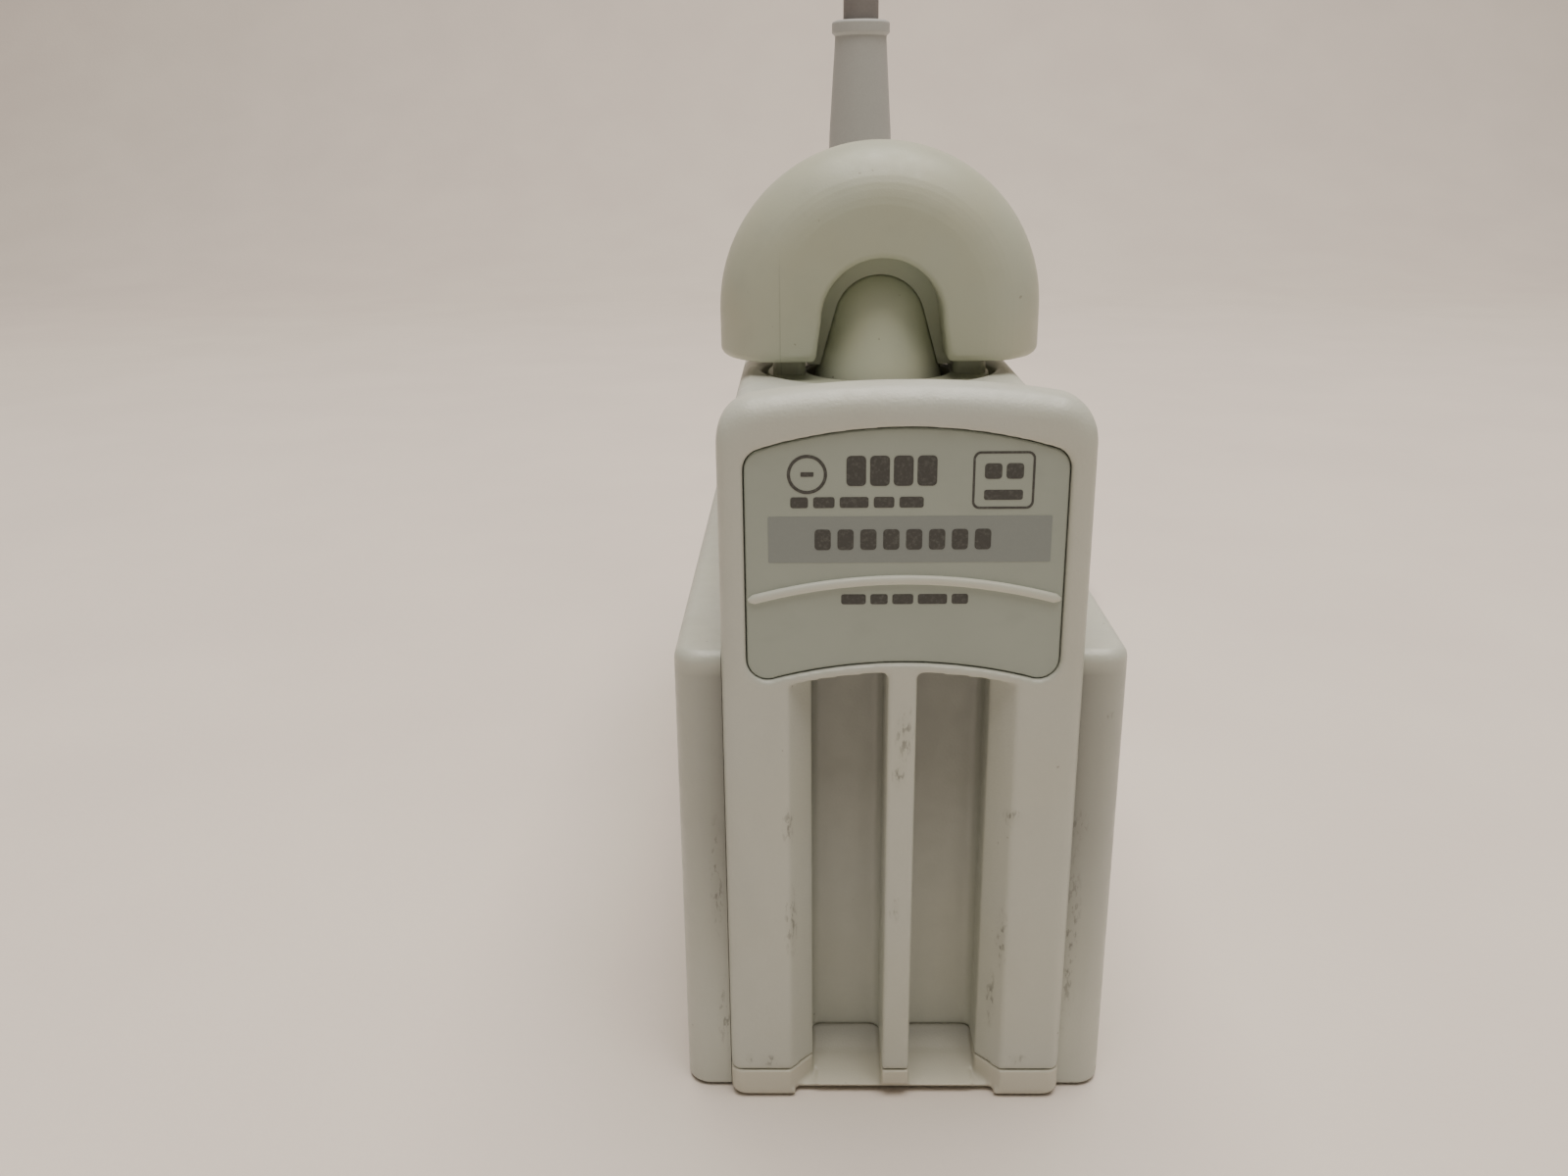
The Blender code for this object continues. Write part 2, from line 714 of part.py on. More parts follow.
def head_half_mesh(side):
    """Upper or lower half of the scan head's shell. side is 1 for the upper one."""
    sections = []
    steps = 12
    for y, wide, high in HEAD_SECTIONS:
        ring = []
        for i in range(steps + 1):
            angle = math.pi * i / steps
            x = math.copysign(abs(math.cos(angle)) ** 0.8, math.cos(angle)) * wide
            z = abs(math.sin(angle)) ** 0.8 * (high - GAP / 2) + GAP / 2
            ring.append((HEAD_X + x, y, HEAD_Z + side * z))
        sections.append(ring)
    return as_mesh(loft(sections))


def lens_mesh():
    """Rounded acoustic window at the front of the scan head."""
    y, wide, high = HEAD_SECTIONS[-1]
    sections = []
    for forward, shrink in ((0.0, 0.9), (1.6, 0.9), (3.0, 1.9), (3.8, 4.2)):
        half_x, half_z = wide - shrink, high - shrink
        outline = plan_outline(half_x, -half_z, 3.0)
        sections.append([(HEAD_X + x, y + GAP + forward, HEAD_Z + z) for x, z in outline])
    return as_mesh(loft(sections))


def head_boot_mesh():
    """Strain relief between the cable and the scan head, bored for the cable's end."""
    bore = CABLE_D / 2 + GAP
    length = 11.2
    outside = [(bore, 0.0), (4.7, 0.0), (4.8, 3.0), (5.9, length), (0, length)]
    bm = turned([*outside, (0, 7.0), (bore, 7.0)], steps=24)
    bmesh.ops.rotate(bm, matrix=Matrix.Rotation(-math.pi / 2, 3, "X"), verts=bm.verts)
    bmesh.ops.translate(bm, vec=(HEAD_X, HEAD_START, HEAD_Z), verts=bm.verts)
    return as_mesh(bm)


# ---------------------------------------------------------------- assembly


def build_housing(m):
    cap = end_cap_mesh()
    place("front_end_cap", cap, m["housing"])
    place("rear_end_cap", cap, m["housing"], turned_round=True)
    panel = label_plate_mesh()
    place("label_plate", panel, m["label"])
    place("rear_plate", panel, m["label"], turned_round=True)
    place("lower_shell", lower_shell_mesh(), m["housing"])
    place("grip_shell", grip_shell_mesh(), m["housing"])
    place("base_frame", base_frame_mesh(), m["base"])
    outline = plan_outline(21.6, -57.0, 3.0)
    hole = prism(plan_outline(20.0, -55.4, 1.6), "Z", -1.0, 2.0)
    place("face_gasket", carved(prism(outline, "Z", 0.1, 0.7), cuts=[hole]), m["gasket"])
    screw = screw_mesh()
    for name, x, y in FOUR_CORNERS:
        thing = place(f"base_screw_{name}", screw, m["steel"])
        thing.location = (x * SCREW_XY[0] * MM, y * SCREW_XY[1] * MM, 0.0)


def build_chassis(m):
    plate = box((-22.0, 22.0), (-60.0, 60.0), CHASSIS_Z)
    hole = rod(6.5, CHASSIS_Z[0] - 1, CHASSIS_Z[1] + 1, LATCH)
    passage = rod(6.0, CHASSIS_Z[0] - 1, CHASSIS_Z[1] + 1, CABLE_XY)
    place("chassis_plate", carved(plate, cuts=[hole, passage]), m["aluminium"])
    post = as_mesh(turned([(0, 50.3), (2.6, 50.3), (2.6, 56.4), (0, 56.4)], steps=12))
    for name, x, y in FOUR_CORNERS:
        thing = place(f"standoff_{name}", post, m["steel"])
        thing.location = (x * 19.2 * MM, y * 50.0 * MM, 0.0)
    bar = as_mesh(rod(2.5, 11.0, CHASSIS_Z[0] - GAP, steps=16))
    for name, end in (("front", -1), ("rear", 1)):
        thing = place(f"guide_post_{name}", bar, m["steel"])
        thing.location = (0.0, end * POST_Y * MM, 0.0)
    for name, side in (("left", -1), ("right", 1)):
        span = sorted((side * 15.5, side * 17.1))
        place(f"main_board_{name}", as_mesh(box(span, (-54.0, 54.0), (20.6, 47.7))), m["board"])
        span = sorted((side * 9.5, side * 15.2))
        can = softened(box(span, (10.0, 46.0), (24.0, 44.0)), 0.8)
        place(f"shield_can_{name}", as_mesh(can), m["steel"])
        span = sorted((side * 10.2, side * 15.2))
        place(f"board_connector_{name}", as_mesh(box(span, (-50.0, -28.0), CONNECTOR_Z)), m["insulator"])
    leaf = [(8.4, 21.0), (8.9, 21.0), (9.4, 30.0), (9.4, 47.1)]
    leaf += [(13.0, 47.1), (13.0, 47.7), (8.8, 47.7), (8.8, 30.0)]
    place("detent_leaf", as_mesh(prism(leaf, "Y", -19.0, -11.0)), m["steel"])


def build_latch(m):
    axis = pivot("latch_axis", (*LATCH, POCKET_FLOOR))
    place("latch_handle", handle_mesh(), m["handle"], axis)
    place("latch_hub", hub_mesh(), m["handle"], axis)
    place("latch_shaft", as_mesh(rod(SHAFT_R, 6.3, 88.2, LATCH)), m["steel"], axis)
    place("latch_key", key_mesh(), m["steel"], axis)
    inner = SHAFT_R + TURN_CLEARANCE
    collar = turned(ring_profile(inner, 8.0, PLATE_Z[1] + GAP, 27.0), LATCH)
    place("cam_collar", as_mesh(collar), m["brass"], axis)
    ring = turned(ring_profile(inner, 6.4, 43.6, 44.8), LATCH, 24)
    place("retaining_ring", as_mesh(ring), m["steel"], axis)
    upper = [(inner, 70.5), (6.3, 70.5), (6.3, 74.3), (8.2, 74.3), (8.2, 75.7), (inner, 75.7)]
    place("upper_bushing", as_mesh(turned(upper, LATCH)), m["brass"])
    lower = [(inner, 45.2), (8.2, 45.2), (8.2, 47.7), (6.2, 47.7), (6.2, 52.0), (inner, 52.0)]
    place("lower_bushing", as_mesh(turned(lower, LATCH)), m["brass"])


def build_carrier(m):
    slide = pivot("carrier_slide", (0.0, 0.0, PLATE_Z[0]))
    place("contact_block", carrier_slab_mesh(BLOCK_Z), m["insulator"], slide)
    place("pressure_plate", carrier_slab_mesh(PLATE_Z), m["aluminium"], slide)
    for name, side in (("left", -1), ("right", 1)):
        span = sorted((side * 5.6, side * 15.6))
        strip = box(span, (-48.0, 48.0), (BLOCK_Z[0] - 0.8, BLOCK_Z[0] - GAP))
        place(f"contact_strip_{name}", as_mesh(strip), m["gold"], slide)
        place(f"flex_circuit_{name}", flex_mesh(side), m["flex"], slide)


def build_cable_entry(m):
    bore = CABLE_D / 2 + GAP
    gland = [(bore, 72.0), (5.2, 72.0), (5.2, DECK + GAP), (9.0, DECK + GAP)]
    gland += [(9.0, 84.6), (7.4, 86.0), (7.0, 92.0), (bore, 92.0)]
    place("cable_gland", as_mesh(turned(gland, CABLE_XY)), m["boot"])
    hexagon = prism(arc(*CABLE_XY, 9.0, 0, 300, 5), "Z", 75.0, DECK - WALL - GAP)
    place("gland_nut", carved(hexagon, cuts=[rod(5.5, 74.0, 81.0, CABLE_XY)]), m["brass"])
    top = BOOT_TOP
    boot = [(0, 92.3), (6.5, 92.3), (6.35, 98.0), (5.85, 115.0), (4.85, top - 3.4), (4.85, top - 2.8)]
    boot += [(5.3, top - 2.5), (5.45, top - 1.3), (5.2, top), (bore, top), (bore, 126.0), (0, 126.0)]
    place("strain_relief_boot", as_mesh(turned(boot, CABLE_XY)), m["boot"])
    core = rod(CABLE_D / 2, BODY_TOP + 2 * GAP, 91.6, CABLE_XY, 16)
    place("cable_inner_end", as_mesh(core), m["cable"])
    x, y = CABLE_XY
    for name, side in (("front", -1), ("rear", 1)):
        span = sorted((y + side * GAP / 2, y + side * 6.0))
        half = box((x - 10.0, x + 10.0), span, (61.5, 68.0))
        cuts = [rod(bore, 60.0, 70.0, CABLE_XY)]
        place(f"cable_clamp_{name}", carved(half, cuts=cuts), m["insulator"])


def build_cable(m):
    tube("cable_lead", LEAD_ROUTE, m["cable"])
    tube("cable_tail", TAIL_ROUTE, m["cable"])
    inner = COIL_RADII[0] - CABLE_D / 2
    outer = COIL_RADII[-1] + CABLE_D / 2
    ring = turned(ring_profile(inner, outer, COIL_LIFT, COIL_TOP), COIL_CENTRE, 48)
    place("cable_coil", as_mesh(ring), m["cable"])
    place("coil_tie", tie_mesh(), m["strap"])
    place("scan_head_shell_upper", head_half_mesh(1), m["housing"])
    place("scan_head_shell_lower", head_half_mesh(-1), m["housing"])
    place("scan_head_lens", lens_mesh(), m["lens"])
    place("scan_head_boot", head_boot_mesh(), m["boot"])


def main():
    clear_scene()
    finishes = {
        "housing": material("housing", (0.74, 0.69, 0.56), 0.5),
        "handle": material("handle", (0.75, 0.65, 0.45), 0.4),
        "base": material("base", (0.78, 0.70, 0.48), 0.45),
        "label": material("label", (0.55, 0.52, 0.42), 0.45),
        "boot": material("boot", (0.34, 0.28, 0.28), 0.6),
        "cable": material("cable", (0.10, 0.085, 0.075), 0.55),
        "steel": material("steel", (0.6, 0.6, 0.6), 0.3, 1.0),
        "aluminium": material("aluminium", (0.75, 0.75, 0.76), 0.35, 1.0),
        "brass": material("brass", (0.75, 0.6, 0.3), 0.35, 1.0),
        "gold": material("gold", (0.9, 0.68, 0.3), 0.25, 1.0),
        "board": material("board", (0.03, 0.22, 0.1), 0.5),
        "flex": material("flex", (0.65, 0.32, 0.08), 0.4),
        "insulator": material("insulator", (0.06, 0.06, 0.065), 0.5),
        "gasket": material("gasket", (0.05, 0.05, 0.05), 0.7),
        "lens": material("lens", (0.16, 0.17, 0.19), 0.5),
        "strap": material("strap", (0.04, 0.04, 0.045), 0.9),
    }
    build_housing(finishes)
    build_chassis(finishes)
    build_latch(finishes)
    build_carrier(finishes)
    build_cable_entry(finishes)
    build_cable(finishes)


main()
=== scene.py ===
"""Looks of the turn-to-lock ultrasound connector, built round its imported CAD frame.

Shapes are drawn in millimetres in the connector's own frame: +Z is up, the front face
looks along -Y, and X = 0 is the plane of symmetry.
"""

import json
import math

import bmesh
import bpy
from mathutils import Matrix, Vector


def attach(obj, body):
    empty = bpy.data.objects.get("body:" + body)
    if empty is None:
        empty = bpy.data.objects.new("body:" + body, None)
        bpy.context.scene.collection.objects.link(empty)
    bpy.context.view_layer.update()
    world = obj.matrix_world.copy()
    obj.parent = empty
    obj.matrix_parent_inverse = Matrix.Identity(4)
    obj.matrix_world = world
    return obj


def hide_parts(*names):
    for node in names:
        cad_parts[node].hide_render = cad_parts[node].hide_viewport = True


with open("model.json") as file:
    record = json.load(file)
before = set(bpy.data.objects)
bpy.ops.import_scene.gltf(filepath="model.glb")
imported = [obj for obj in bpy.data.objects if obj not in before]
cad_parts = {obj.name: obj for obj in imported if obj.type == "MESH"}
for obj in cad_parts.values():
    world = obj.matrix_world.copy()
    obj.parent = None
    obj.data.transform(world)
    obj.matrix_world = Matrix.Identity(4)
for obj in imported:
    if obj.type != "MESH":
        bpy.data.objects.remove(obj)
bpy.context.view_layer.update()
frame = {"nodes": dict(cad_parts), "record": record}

MM = 0.001
NODES = frame["nodes"]

# Housing: end caps, wide body, deck and the seams between them
FRONT = -75.0
COLUMN_HALF = 20.35
COLUMN_CORNER = 4.6
RIM_TOP = 89.3
RIM_ARC = 113.0
CAP_UPPER_DEPTH = 6.2
CAP_LOWER_DEPTH = 12.0
BODY_HALF = 26.0
BODY_FRONT = -72.8
BODY_TOP = 58.9
DECK = 82.0
WALL = 2.2
SEAM = 4.1  # top of the base, where the end caps stand on it
LIP_TOP = 1.2  # top of the base's lip between its toes
GAP = 0.3
THIN_GAP = 0.1  # seams that show between moulded skins
MOULD_GRAIN = 0.3
BASE_GRAIN = 0.25
SCREW_SPOT = (15.6, 67.0)

# Guide channels, the rib between them and the slants of the rails beside them
RIB_HALF = 1.65
CHANNEL_EDGE = 10.2
CHANNEL_DEPTH = 9.2
SLANT_EDGE = 13.0
SLANT_DEPTH = 3.3

# Label
LABEL_HALF = 17.5
LABEL_ARC = 55.0
LABEL_TOP = 85.0
LABEL_BOTTOM = 58.3
LABEL_CORNER = 2.4
LABEL_RECESS = 2.0
LABEL_FACE = -74.5
LIP = 1.1  # of the cap's skin left under the label
RIDGE_TOP = 68.6
RIDGE_ARC = 62.0
RIDGE_R = 0.54
INK_THICK = 0.03
STRIP_BOX = (0.45, 72.65, 15.3, 2.6)  # middle in X and Z, half-width and half-height
FRAME_MIDDLE = (10.35, 79.15)
DIAL_MIDDLE = (-10.6, 79.9)
# Rows of blocks: left end, foot, widths, height and the gap between two
PRINT_ROWS = (
    (-11.3, 79.65, (1.4,), 0.5, 0.0),
    (-6.4, 78.6, (2.1, 2.1, 2.1, 2.1), 3.3, 0.42),
    (-12.4, 76.2, (1.9, 2.3, 3.1, 2.2, 2.6), 1.2, 0.55),
    (8.3, 79.3, (1.85, 1.85), 1.7, 0.45),
    (8.3, 77.0, (4.15,), 1.1, 0.0),
    (-6.9, 65.25, (2.7, 1.9, 2.3, 3.2, 1.8), 1.15, 0.5),
)
STRIP_ROW = (-9.8, 71.5, (1.75,) * 8, 2.3, 0.72)

# Latch: its axis, the pocket it sits in, the horseshoe handle and the hub in its arch
LATCH = (0.0, -15.0)
POCKET_FLOOR = 74.0
POCKET_R = 17.2
POCKET_LIP = 1.0
HANDLE_HALF = 23.0
HANDLE_TOP = 113.65
HANDLE_BOTTOM = 84.0
HANDLE_HALF_DEPTH = 11.0
HANDLE_ROUND = 9.5
FOOT_EDGE = 1.3  # rounding under the legs
HEEL_R = 1.4
ARCH_HALF = 8.5
ARCH_FLARE = 9.2
ARCH_CENTRE = 89.7
ARCH_EDGE = 0.9  # rounding along the arch's front and back edges
WEB_DEPTH = (-3.0, 10.4)  # of the wall that closes the arch round the hub, from the axis
WEB_BOTTOM = 82.6
HUB_TOP = 95.8
HUB_DOME_R = 7.0
HUB_FOOT = 76.2
HUB_BORE = 4.2
HUB_BORE_TOP = 88.5
STUB_X = 13.05

# Contact pads: pitch and half-size in X and Y, and their heights
PAD_COLUMNS = 5
PAD_FIRST_X = 6.6
PAD_PITCH = (2.0, 1.6)
PAD_HALF = (0.7, 0.45)
PAD_FIELD_LENGTH = 95.0
PAD_HEIGHTS = (8.72, 9.5)

# Scan head: its axis, where its boot starts, and Y, half-width and half-height along its shell
HEAD_X = -13.0
HEAD_Z = 31.3
HEAD_START = 110.0
HEAD_BOOT_LENGTH = 11.4
HEAD_SECTIONS = (
    (121.5, 6.6, 6.6),
    (127.5, 8.6, 7.6),
    (135.5, 10.4, 8.8),
    (145.5, 11.2, 9.6),
    (153.5, 11.8, 9.8),
    (160.5, 13.2, 9.9),
    (166.5, 13.6, 9.2),
    (169.5, 13.0, 8.4),
)

# Cable: its coil's lanes are (radius, height), and angles are degrees turned clockwise
CABLE_D = 6.6
CABLE_BORE = CABLE_D / 2 + 0.05
CABLE_EXIT = (0.0, 58.0, 134.7)
COIL_CENTRE = (14.0, 122.8)
COIL_RADII = (36.3, 42.9)
COIL_LAYERS = (4.5, 11.1, 17.7)
COIL_ENTRY = (29.0, 4.6)
COIL_BULGES = (0.0, 0.0, 2.4, 0.0, -2.4, 0.0)
COIL_TURNED = (112.0, 2212.0, 12.0)  # first, end and step
COIL_WINDOW = (95.0, 185.0)
TAIL_RISE = 24.6
TAIL_RISE_ANGLE = 60.0
LEAD_ROUTE = (
    (0.0, 58.0, 127.0), (0.0, 58.0, 136.0), (0.0, 58.1, 145.0), (0.1, 59.8, 155.0),
    (0.3, 64.6, 165.0), (0.7, 72.8, 173.0), (1.1, 83.5, 177.6), (1.6, 95.0, 177.6),
    (2.0, 105.8, 173.2), (2.3, 114.3, 165.0), (2.5, 119.6, 154.5), (2.6, 122.6, 142.5),
    (2.7, 124.4, 130.0), (2.9, 126.6, 117.5), (3.6, 129.6, 105.0), (5.4, 133.4, 92.5),
    (8.6, 137.6, 80.0), (13.2, 141.2, 68.0), (19.4, 143.2, 56.5), (26.4, 142.4, 45.5),
    (33.0, 138.2, 35.6), (38.0, 131.6, 27.8), (40.6, 123.6, 21.4), (40.4, 115.2, 16.0),
    (37.6, 107.3, 11.5), (32.4, 100.8, 8.2), (25.3, 96.2, 6.0), (17.2, 94.0, 4.9),
    (8.9, 94.3, 4.6),
)
TAIL_ROUTE = (
    (35.4, 85.6, 24.6), (27.3, 82.0, 24.6), (17.0, 80.0, 24.7), (6.8, 81.0, 25.2),
    (-1.4, 84.9, 26.4), (-7.6, 91.0, 28.0), (-11.4, 97.4, 29.8), (-13.0, 104.9, 31.2),
    (-13.0, 116.4, 31.3),
)

# Camera and light, in metres and degrees
CAMERA_PLACE = (-0.010719, -0.213291, 0.113765)
CAMERA_TURN = (18.555, -1.0096, -0.594)  # pitch, yaw and roll
CAMERA_LENS = 30.69
CEILING_PLACE = (0.1, -0.05, 1.5)
CEILING_TARGET = (0.0, -0.05, 0.0)
CEILING_SIZE = (1.6, 1.2)
CEILING_POWER = 38.0
CEILING_COLOUR = (1.0, 0.925, 0.83)
ROOM_COLOUR = (1.0, 0.92, 0.82, 1.0)
ROOM_STRENGTH = 0.1

# Floor sweep: how far it runs each way, its wall's place and height, and the bend between
SWEEP_REACH = 8000.0
SWEEP_WALL = 1300.0
SWEEP_HEIGHT = 2600.0
SWEEP_BEND = 500.0

# Colours
HOUSING = (0.54, 0.565, 0.515)
HANDLE = (0.475, 0.505, 0.415)
BASE = (0.61, 0.60, 0.515)
LABEL = (0.375, 0.42, 0.37)
BOOT = (0.46, 0.47, 0.46)
CABLE = (0.23, 0.215, 0.21)
SWEEP = (0.78, 0.715, 0.66)
SWEEP_SHADE = (0.75, 0.685, 0.635)
# colour of the shade painted into the guide channels and beside the columns
PAINTED_SHADE = (0.16, 0.165, 0.15)
SCUFF = (0.09, 0.09, 0.08)
HAZE = (0.2, 0.2, 0.16)
SPECK = (0.16, 0.15, 0.12)
HANDLE_SPECK = (0.16, 0.13, 0.09)

# Where grime and scuffs have gathered on the front of the housing: a centre and a reach
SCUFFS = (
    ((-12.6, -74.8, 25.0), (1.1, 1.5, 5.5)),
    ((-12.9, -74.8, 38.0), (0.9, 1.5, 3.0)),
    ((12.4, -74.6, 22.5), (0.9, 2.0, 5.0)),
    ((12.9, -74.8, 39.0), (1.5, 1.5, 1.4)),
    ((11.6, -73.5, 13.5), (0.7, 2.0, 4.5)),
    ((0.3, -75.0, 50.0), (1.2, 1.0, 4.5)),
    ((-0.2, -75.0, 44.5), (1.0, 1.0, 2.2)),
    ((-0.4, -75.0, 27.0), (0.8, 1.0, 2.0)),
    ((-15.5, -75.0, 5.6), (1.4, 1.0, 1.0)),
    ((-18.0, -75.0, 6.0), (0.7, 1.0, 0.9)),
    ((15.0, -75.0, 5.8), (1.3, 1.0, 0.9)),
)
# Where the wide body's front is streaked darker beside the columns: a centre and a reach
CORNER_STREAKS = (
    ((21.0, -72.6, 21.0), (1.3, 1.5, 15.0)),
    ((-21.0, -72.6, 11.0), (1.2, 1.5, 6.0)),
    ((21.2, -72.8, 37.0), (1.2, 1.0, 2.2)),
    ((-21.6, -72.8, 30.0), (1.0, 1.0, 9.0)),
    ((24.0, -72.8, 51.0), (0.6, 1.0, 0.6)),
)


def smoothed(route, spacing):
    """Points about spacing apart on a Catmull-Rom curve through a route."""
    points = [Vector(p) for p in route]
    points = [2 * points[0] - points[1], *points, 2 * points[-1] - points[-2]]
    fine = []
    for a, b, c, d in zip(points, points[1:], points[2:], points[3:]):
        steps = max(1, round((c - b).length / spacing))
        for k in range(steps):
            t = k / steps
            straight, slow = 2 * b + (c - a) * t, 2 * a - 5 * b + 4 * c - d
            fine.append(0.5 * (straight + slow * t**2 + (3 * b - a - 3 * c + d) * t**3))
    return [*fine, points[-2]]


def eased(t):
    """0 before 0, 1 after 1, and a smooth step between them."""
    t = min(1.0, max(0.0, t))
    return t * t * (3 - 2 * t)


def coil_route():
    """Six turns, clockwise from above: out along the bottom layer, in on the middle one and
    out on the top one. They all change lanes in one window behind the connector."""
    inner, outer = COIL_RADII
    low, middle, top = COIL_LAYERS
    lanes = [COIL_ENTRY, (inner, low), (outer, low), (outer, middle)]
    lanes += [(inner, middle), (inner, top), (outer, top)]
    x, y = COIL_CENTRE
    turned_by, end, step = COIL_TURNED
    opens, closes = COIL_WINDOW
    route = []
    while turned_by < end:
        turn, here = divmod(turned_by, 360.0)
        share = eased((here - opens) / (closes - opens))
        k = min(int(turn), len(lanes) - 2)
        (r0, z0), (r1, z1) = lanes[k], lanes[k + 1]
        radius = r0 + (r1 - r0) * share + COIL_BULGES[k] * math.sin(math.pi * share) ** 2
        height = z0 + (z1 - z0) * share
        if turn == len(lanes) - 1:
            radius = outer
            height = top + (TAIL_RISE - top) * eased(here / TAIL_RISE_ANGLE)
        angle = math.radians(-turned_by)
        route.append((x + radius * math.cos(angle), y + radius * math.sin(angle), height))
        turned_by += step
    return route


# ---- outlines and solids


def arc(cx, cy, radius, start, end, steps):
    """Points on an arc from one angle to another, in degrees."""
    angles = [math.radians(start + (end - start) * i / steps) for i in range(steps + 1)]
    return [(cx + radius * math.cos(a), cy + radius * math.sin(a)) for a in angles]


def circle(cx, cy, radius, steps):
    """Points all round a circle, the first at 0 degrees."""
    return arc(cx, cy, radius, 0, 360 - 360 / steps, steps - 1)


def rounded(corners, steps=8):
    """An outline from (x, y) corners, or (x, y, radius) ones, which are rounded."""
    outline = []
    for i, corner in enumerate(corners):
        here = Vector(corner[:2])
        if len(corner) == 2:
            outline.append(tuple(here))
            continue
        radius = corner[2]
        back = (Vector(corners[i - 1][:2]) - here).normalized()
        ahead = (Vector(corners[(i + 1) % len(corners)][:2]) - here).normalized()
        half = back.angle(ahead) / 2
        centre = here + (back + ahead).normalized() * radius / math.sin(half)
        start = here + back * radius / math.tan(half) - centre
        turn = start.angle_signed(here + ahead * radius / math.tan(half) - centre)
        for k in range(steps + 1):
            spoke = start.copy()
            spoke.rotate(Matrix.Rotation(-turn * k / steps, 2))
            outline.append(tuple(centre + spoke))
    return outline


def rounded_box(half_x, half_y, corner, steps=8):
    """A rounded rectangle about the origin."""
    near = [(-half_x, -half_y, corner), (half_x, -half_y, corner)]
    return rounded([*near, (half_x, half_y, corner), (-half_x, half_y, corner)], steps)


def bowed(x, top, radius):
    """Height of an arched edge at x, for its height in the middle."""
    return top - x * x / (2 * radius)


def inset(radius, depth):
    """How far a rounded edge stands in at a depth behind its face."""
    return radius - math.sqrt(radius**2 - (radius - depth) ** 2) if depth < radius else 0.0


def edge_depths(radius, steps=7):
    """Depths from 0 to radius, closer together near the face."""
    return [radius * (1 - math.cos(math.pi / 2 * k / steps)) for k in range(steps + 1)]


def loft(sections, bm=None, closed=False):
    """A solid through sections with the same number of points, or a ring of them."""
    bm = bm or bmesh.new()
    rings = [[bm.verts.new(p) for p in section] for section in sections]
    for a, b in zip(rings, rings[1:] + rings[:1] if closed else rings[1:]):
        for i in range(len(a)):
            j = (i + 1) % len(a)
            bm.faces.new((a[i], a[j], b[j], b[i]))
    if not closed:
        bm.faces.new(rings[0])
        bm.faces.new(rings[-1])
    bmesh.ops.recalc_face_normals(bm, faces=bm.faces)
    return bm


def prism(outline, axis, low, high, bm=None):
    """An outline extruded along X, Y or Z. Its two numbers are the other two axes."""
    sections = []
    for along in (low, high):
        points = [list(p) for p in outline]
        for p in points:
            p.insert("XYZ".index(axis), along)
        sections.append(points)
    return loft(sections, bm)


def block(x, y, z):
    """A box from three (low, high) pairs."""
    return prism([(x[0], y[0]), (x[1], y[0]), (x[1], y[1]), (x[0], y[1])], "Z", *z)


def moved(outline, x, y):
    return [(x + u, y + v) for u, v in outline]


def turned(profile, centre=(0.0, 0.0), steps=96):
    """A closed (radius, z) profile turned about a vertical axis."""
    bm = bmesh.new()
    rings = []
    for radius, z in profile:
        if radius == 0:
            rings.append([bm.verts.new((*centre, z))] * steps)
            continue
        rings.append([bm.verts.new((x, y, z)) for x, y in circle(*centre, radius, steps)])
    for a, b in zip(rings, rings[1:] + rings[:1]):
        for i in range(steps):
            j = (i + 1) % steps
            corners = list(dict.fromkeys((a[i], a[j], b[j], b[i])))
            if len(corners) > 2:
                bm.faces.new(corners)
    bmesh.ops.recalc_face_normals(bm, faces=bm.faces)
    return bm


def placed(name, data):
    """A new object in the scene."""
    thing = bpy.data.objects.new(name, data)
    bpy.context.scene.collection.objects.link(thing)
    return thing


def as_mesh(bm):
    """A mesh from a bmesh, which is freed."""
    mesh = bpy.data.meshes.new("solid")
    bm.to_mesh(mesh)
    bm.free()
    return mesh


def evaluated(thing, *others):
    """A copy of an object's mesh with its modifiers applied. The objects are removed."""
    graph = bpy.context.evaluated_depsgraph_get()
    mesh = bpy.data.meshes.new_from_object(thing.evaluated_get(graph))
    for one in (thing, *others):
        bpy.data.objects.remove(one)
    return mesh


def carved(base, joins=(), cuts=()):
    """A mesh made of one solid, with others joined to it and then cut from it."""
    target = placed("scratch", as_mesh(base))
    tools = []
    for operation, solids in (("UNION", joins), ("DIFFERENCE", cuts)):
        for bm in solids:
            tool = placed("scratch", as_mesh(bm))
            tools.append(tool)
            step = target.modifiers.new(operation, "BOOLEAN")
            step.operation = operation
            step.solver = "EXACT"
            step.object = tool
    return evaluated(target, *tools)


def moulded(mesh, grain, rounds=5, keep=0.3):
    """The same solid with every edge softened, as it leaves a mould.

    grain is the finest detail kept, and keep the share of faces kept."""
    thing = placed("scratch", mesh)
    skin = thing.modifiers.new("skin", "REMESH")
    skin.mode = "VOXEL"
    skin.voxel_size = grain * 1.0
    soften = thing.modifiers.new("soften", "SMOOTH")
    soften.factor = 0.5
    soften.iterations = rounds
    thin = thing.modifiers.new("thin", "DECIMATE")
    thin.ratio = keep
    return evaluated(thing)


def show(name, mesh, look, body, slot, replaces=(), sharp=35.0, turned_round=False):
    """A visible piece in metres, riding on a body and standing for some CAD nodes."""
    mesh.transform(Matrix.Scale(MM, 4))
    if turned_round:
        mesh.transform(Matrix.Rotation(math.pi, 4, "Z"))
    mesh.name = name
    mesh.materials.clear()
    mesh.materials.append(look)
    mesh.shade_smooth()
    if sharp:
        mesh.set_sharp_from_angle(angle=math.radians(sharp))
    piece = placed(name, mesh)
    if sharp:
        piece.modifiers.new("even_shading", "WEIGHTED_NORMAL").keep_sharp = True
    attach(piece, body)
    if replaces:
        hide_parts(*replaces)
    return piece


# ---- materials


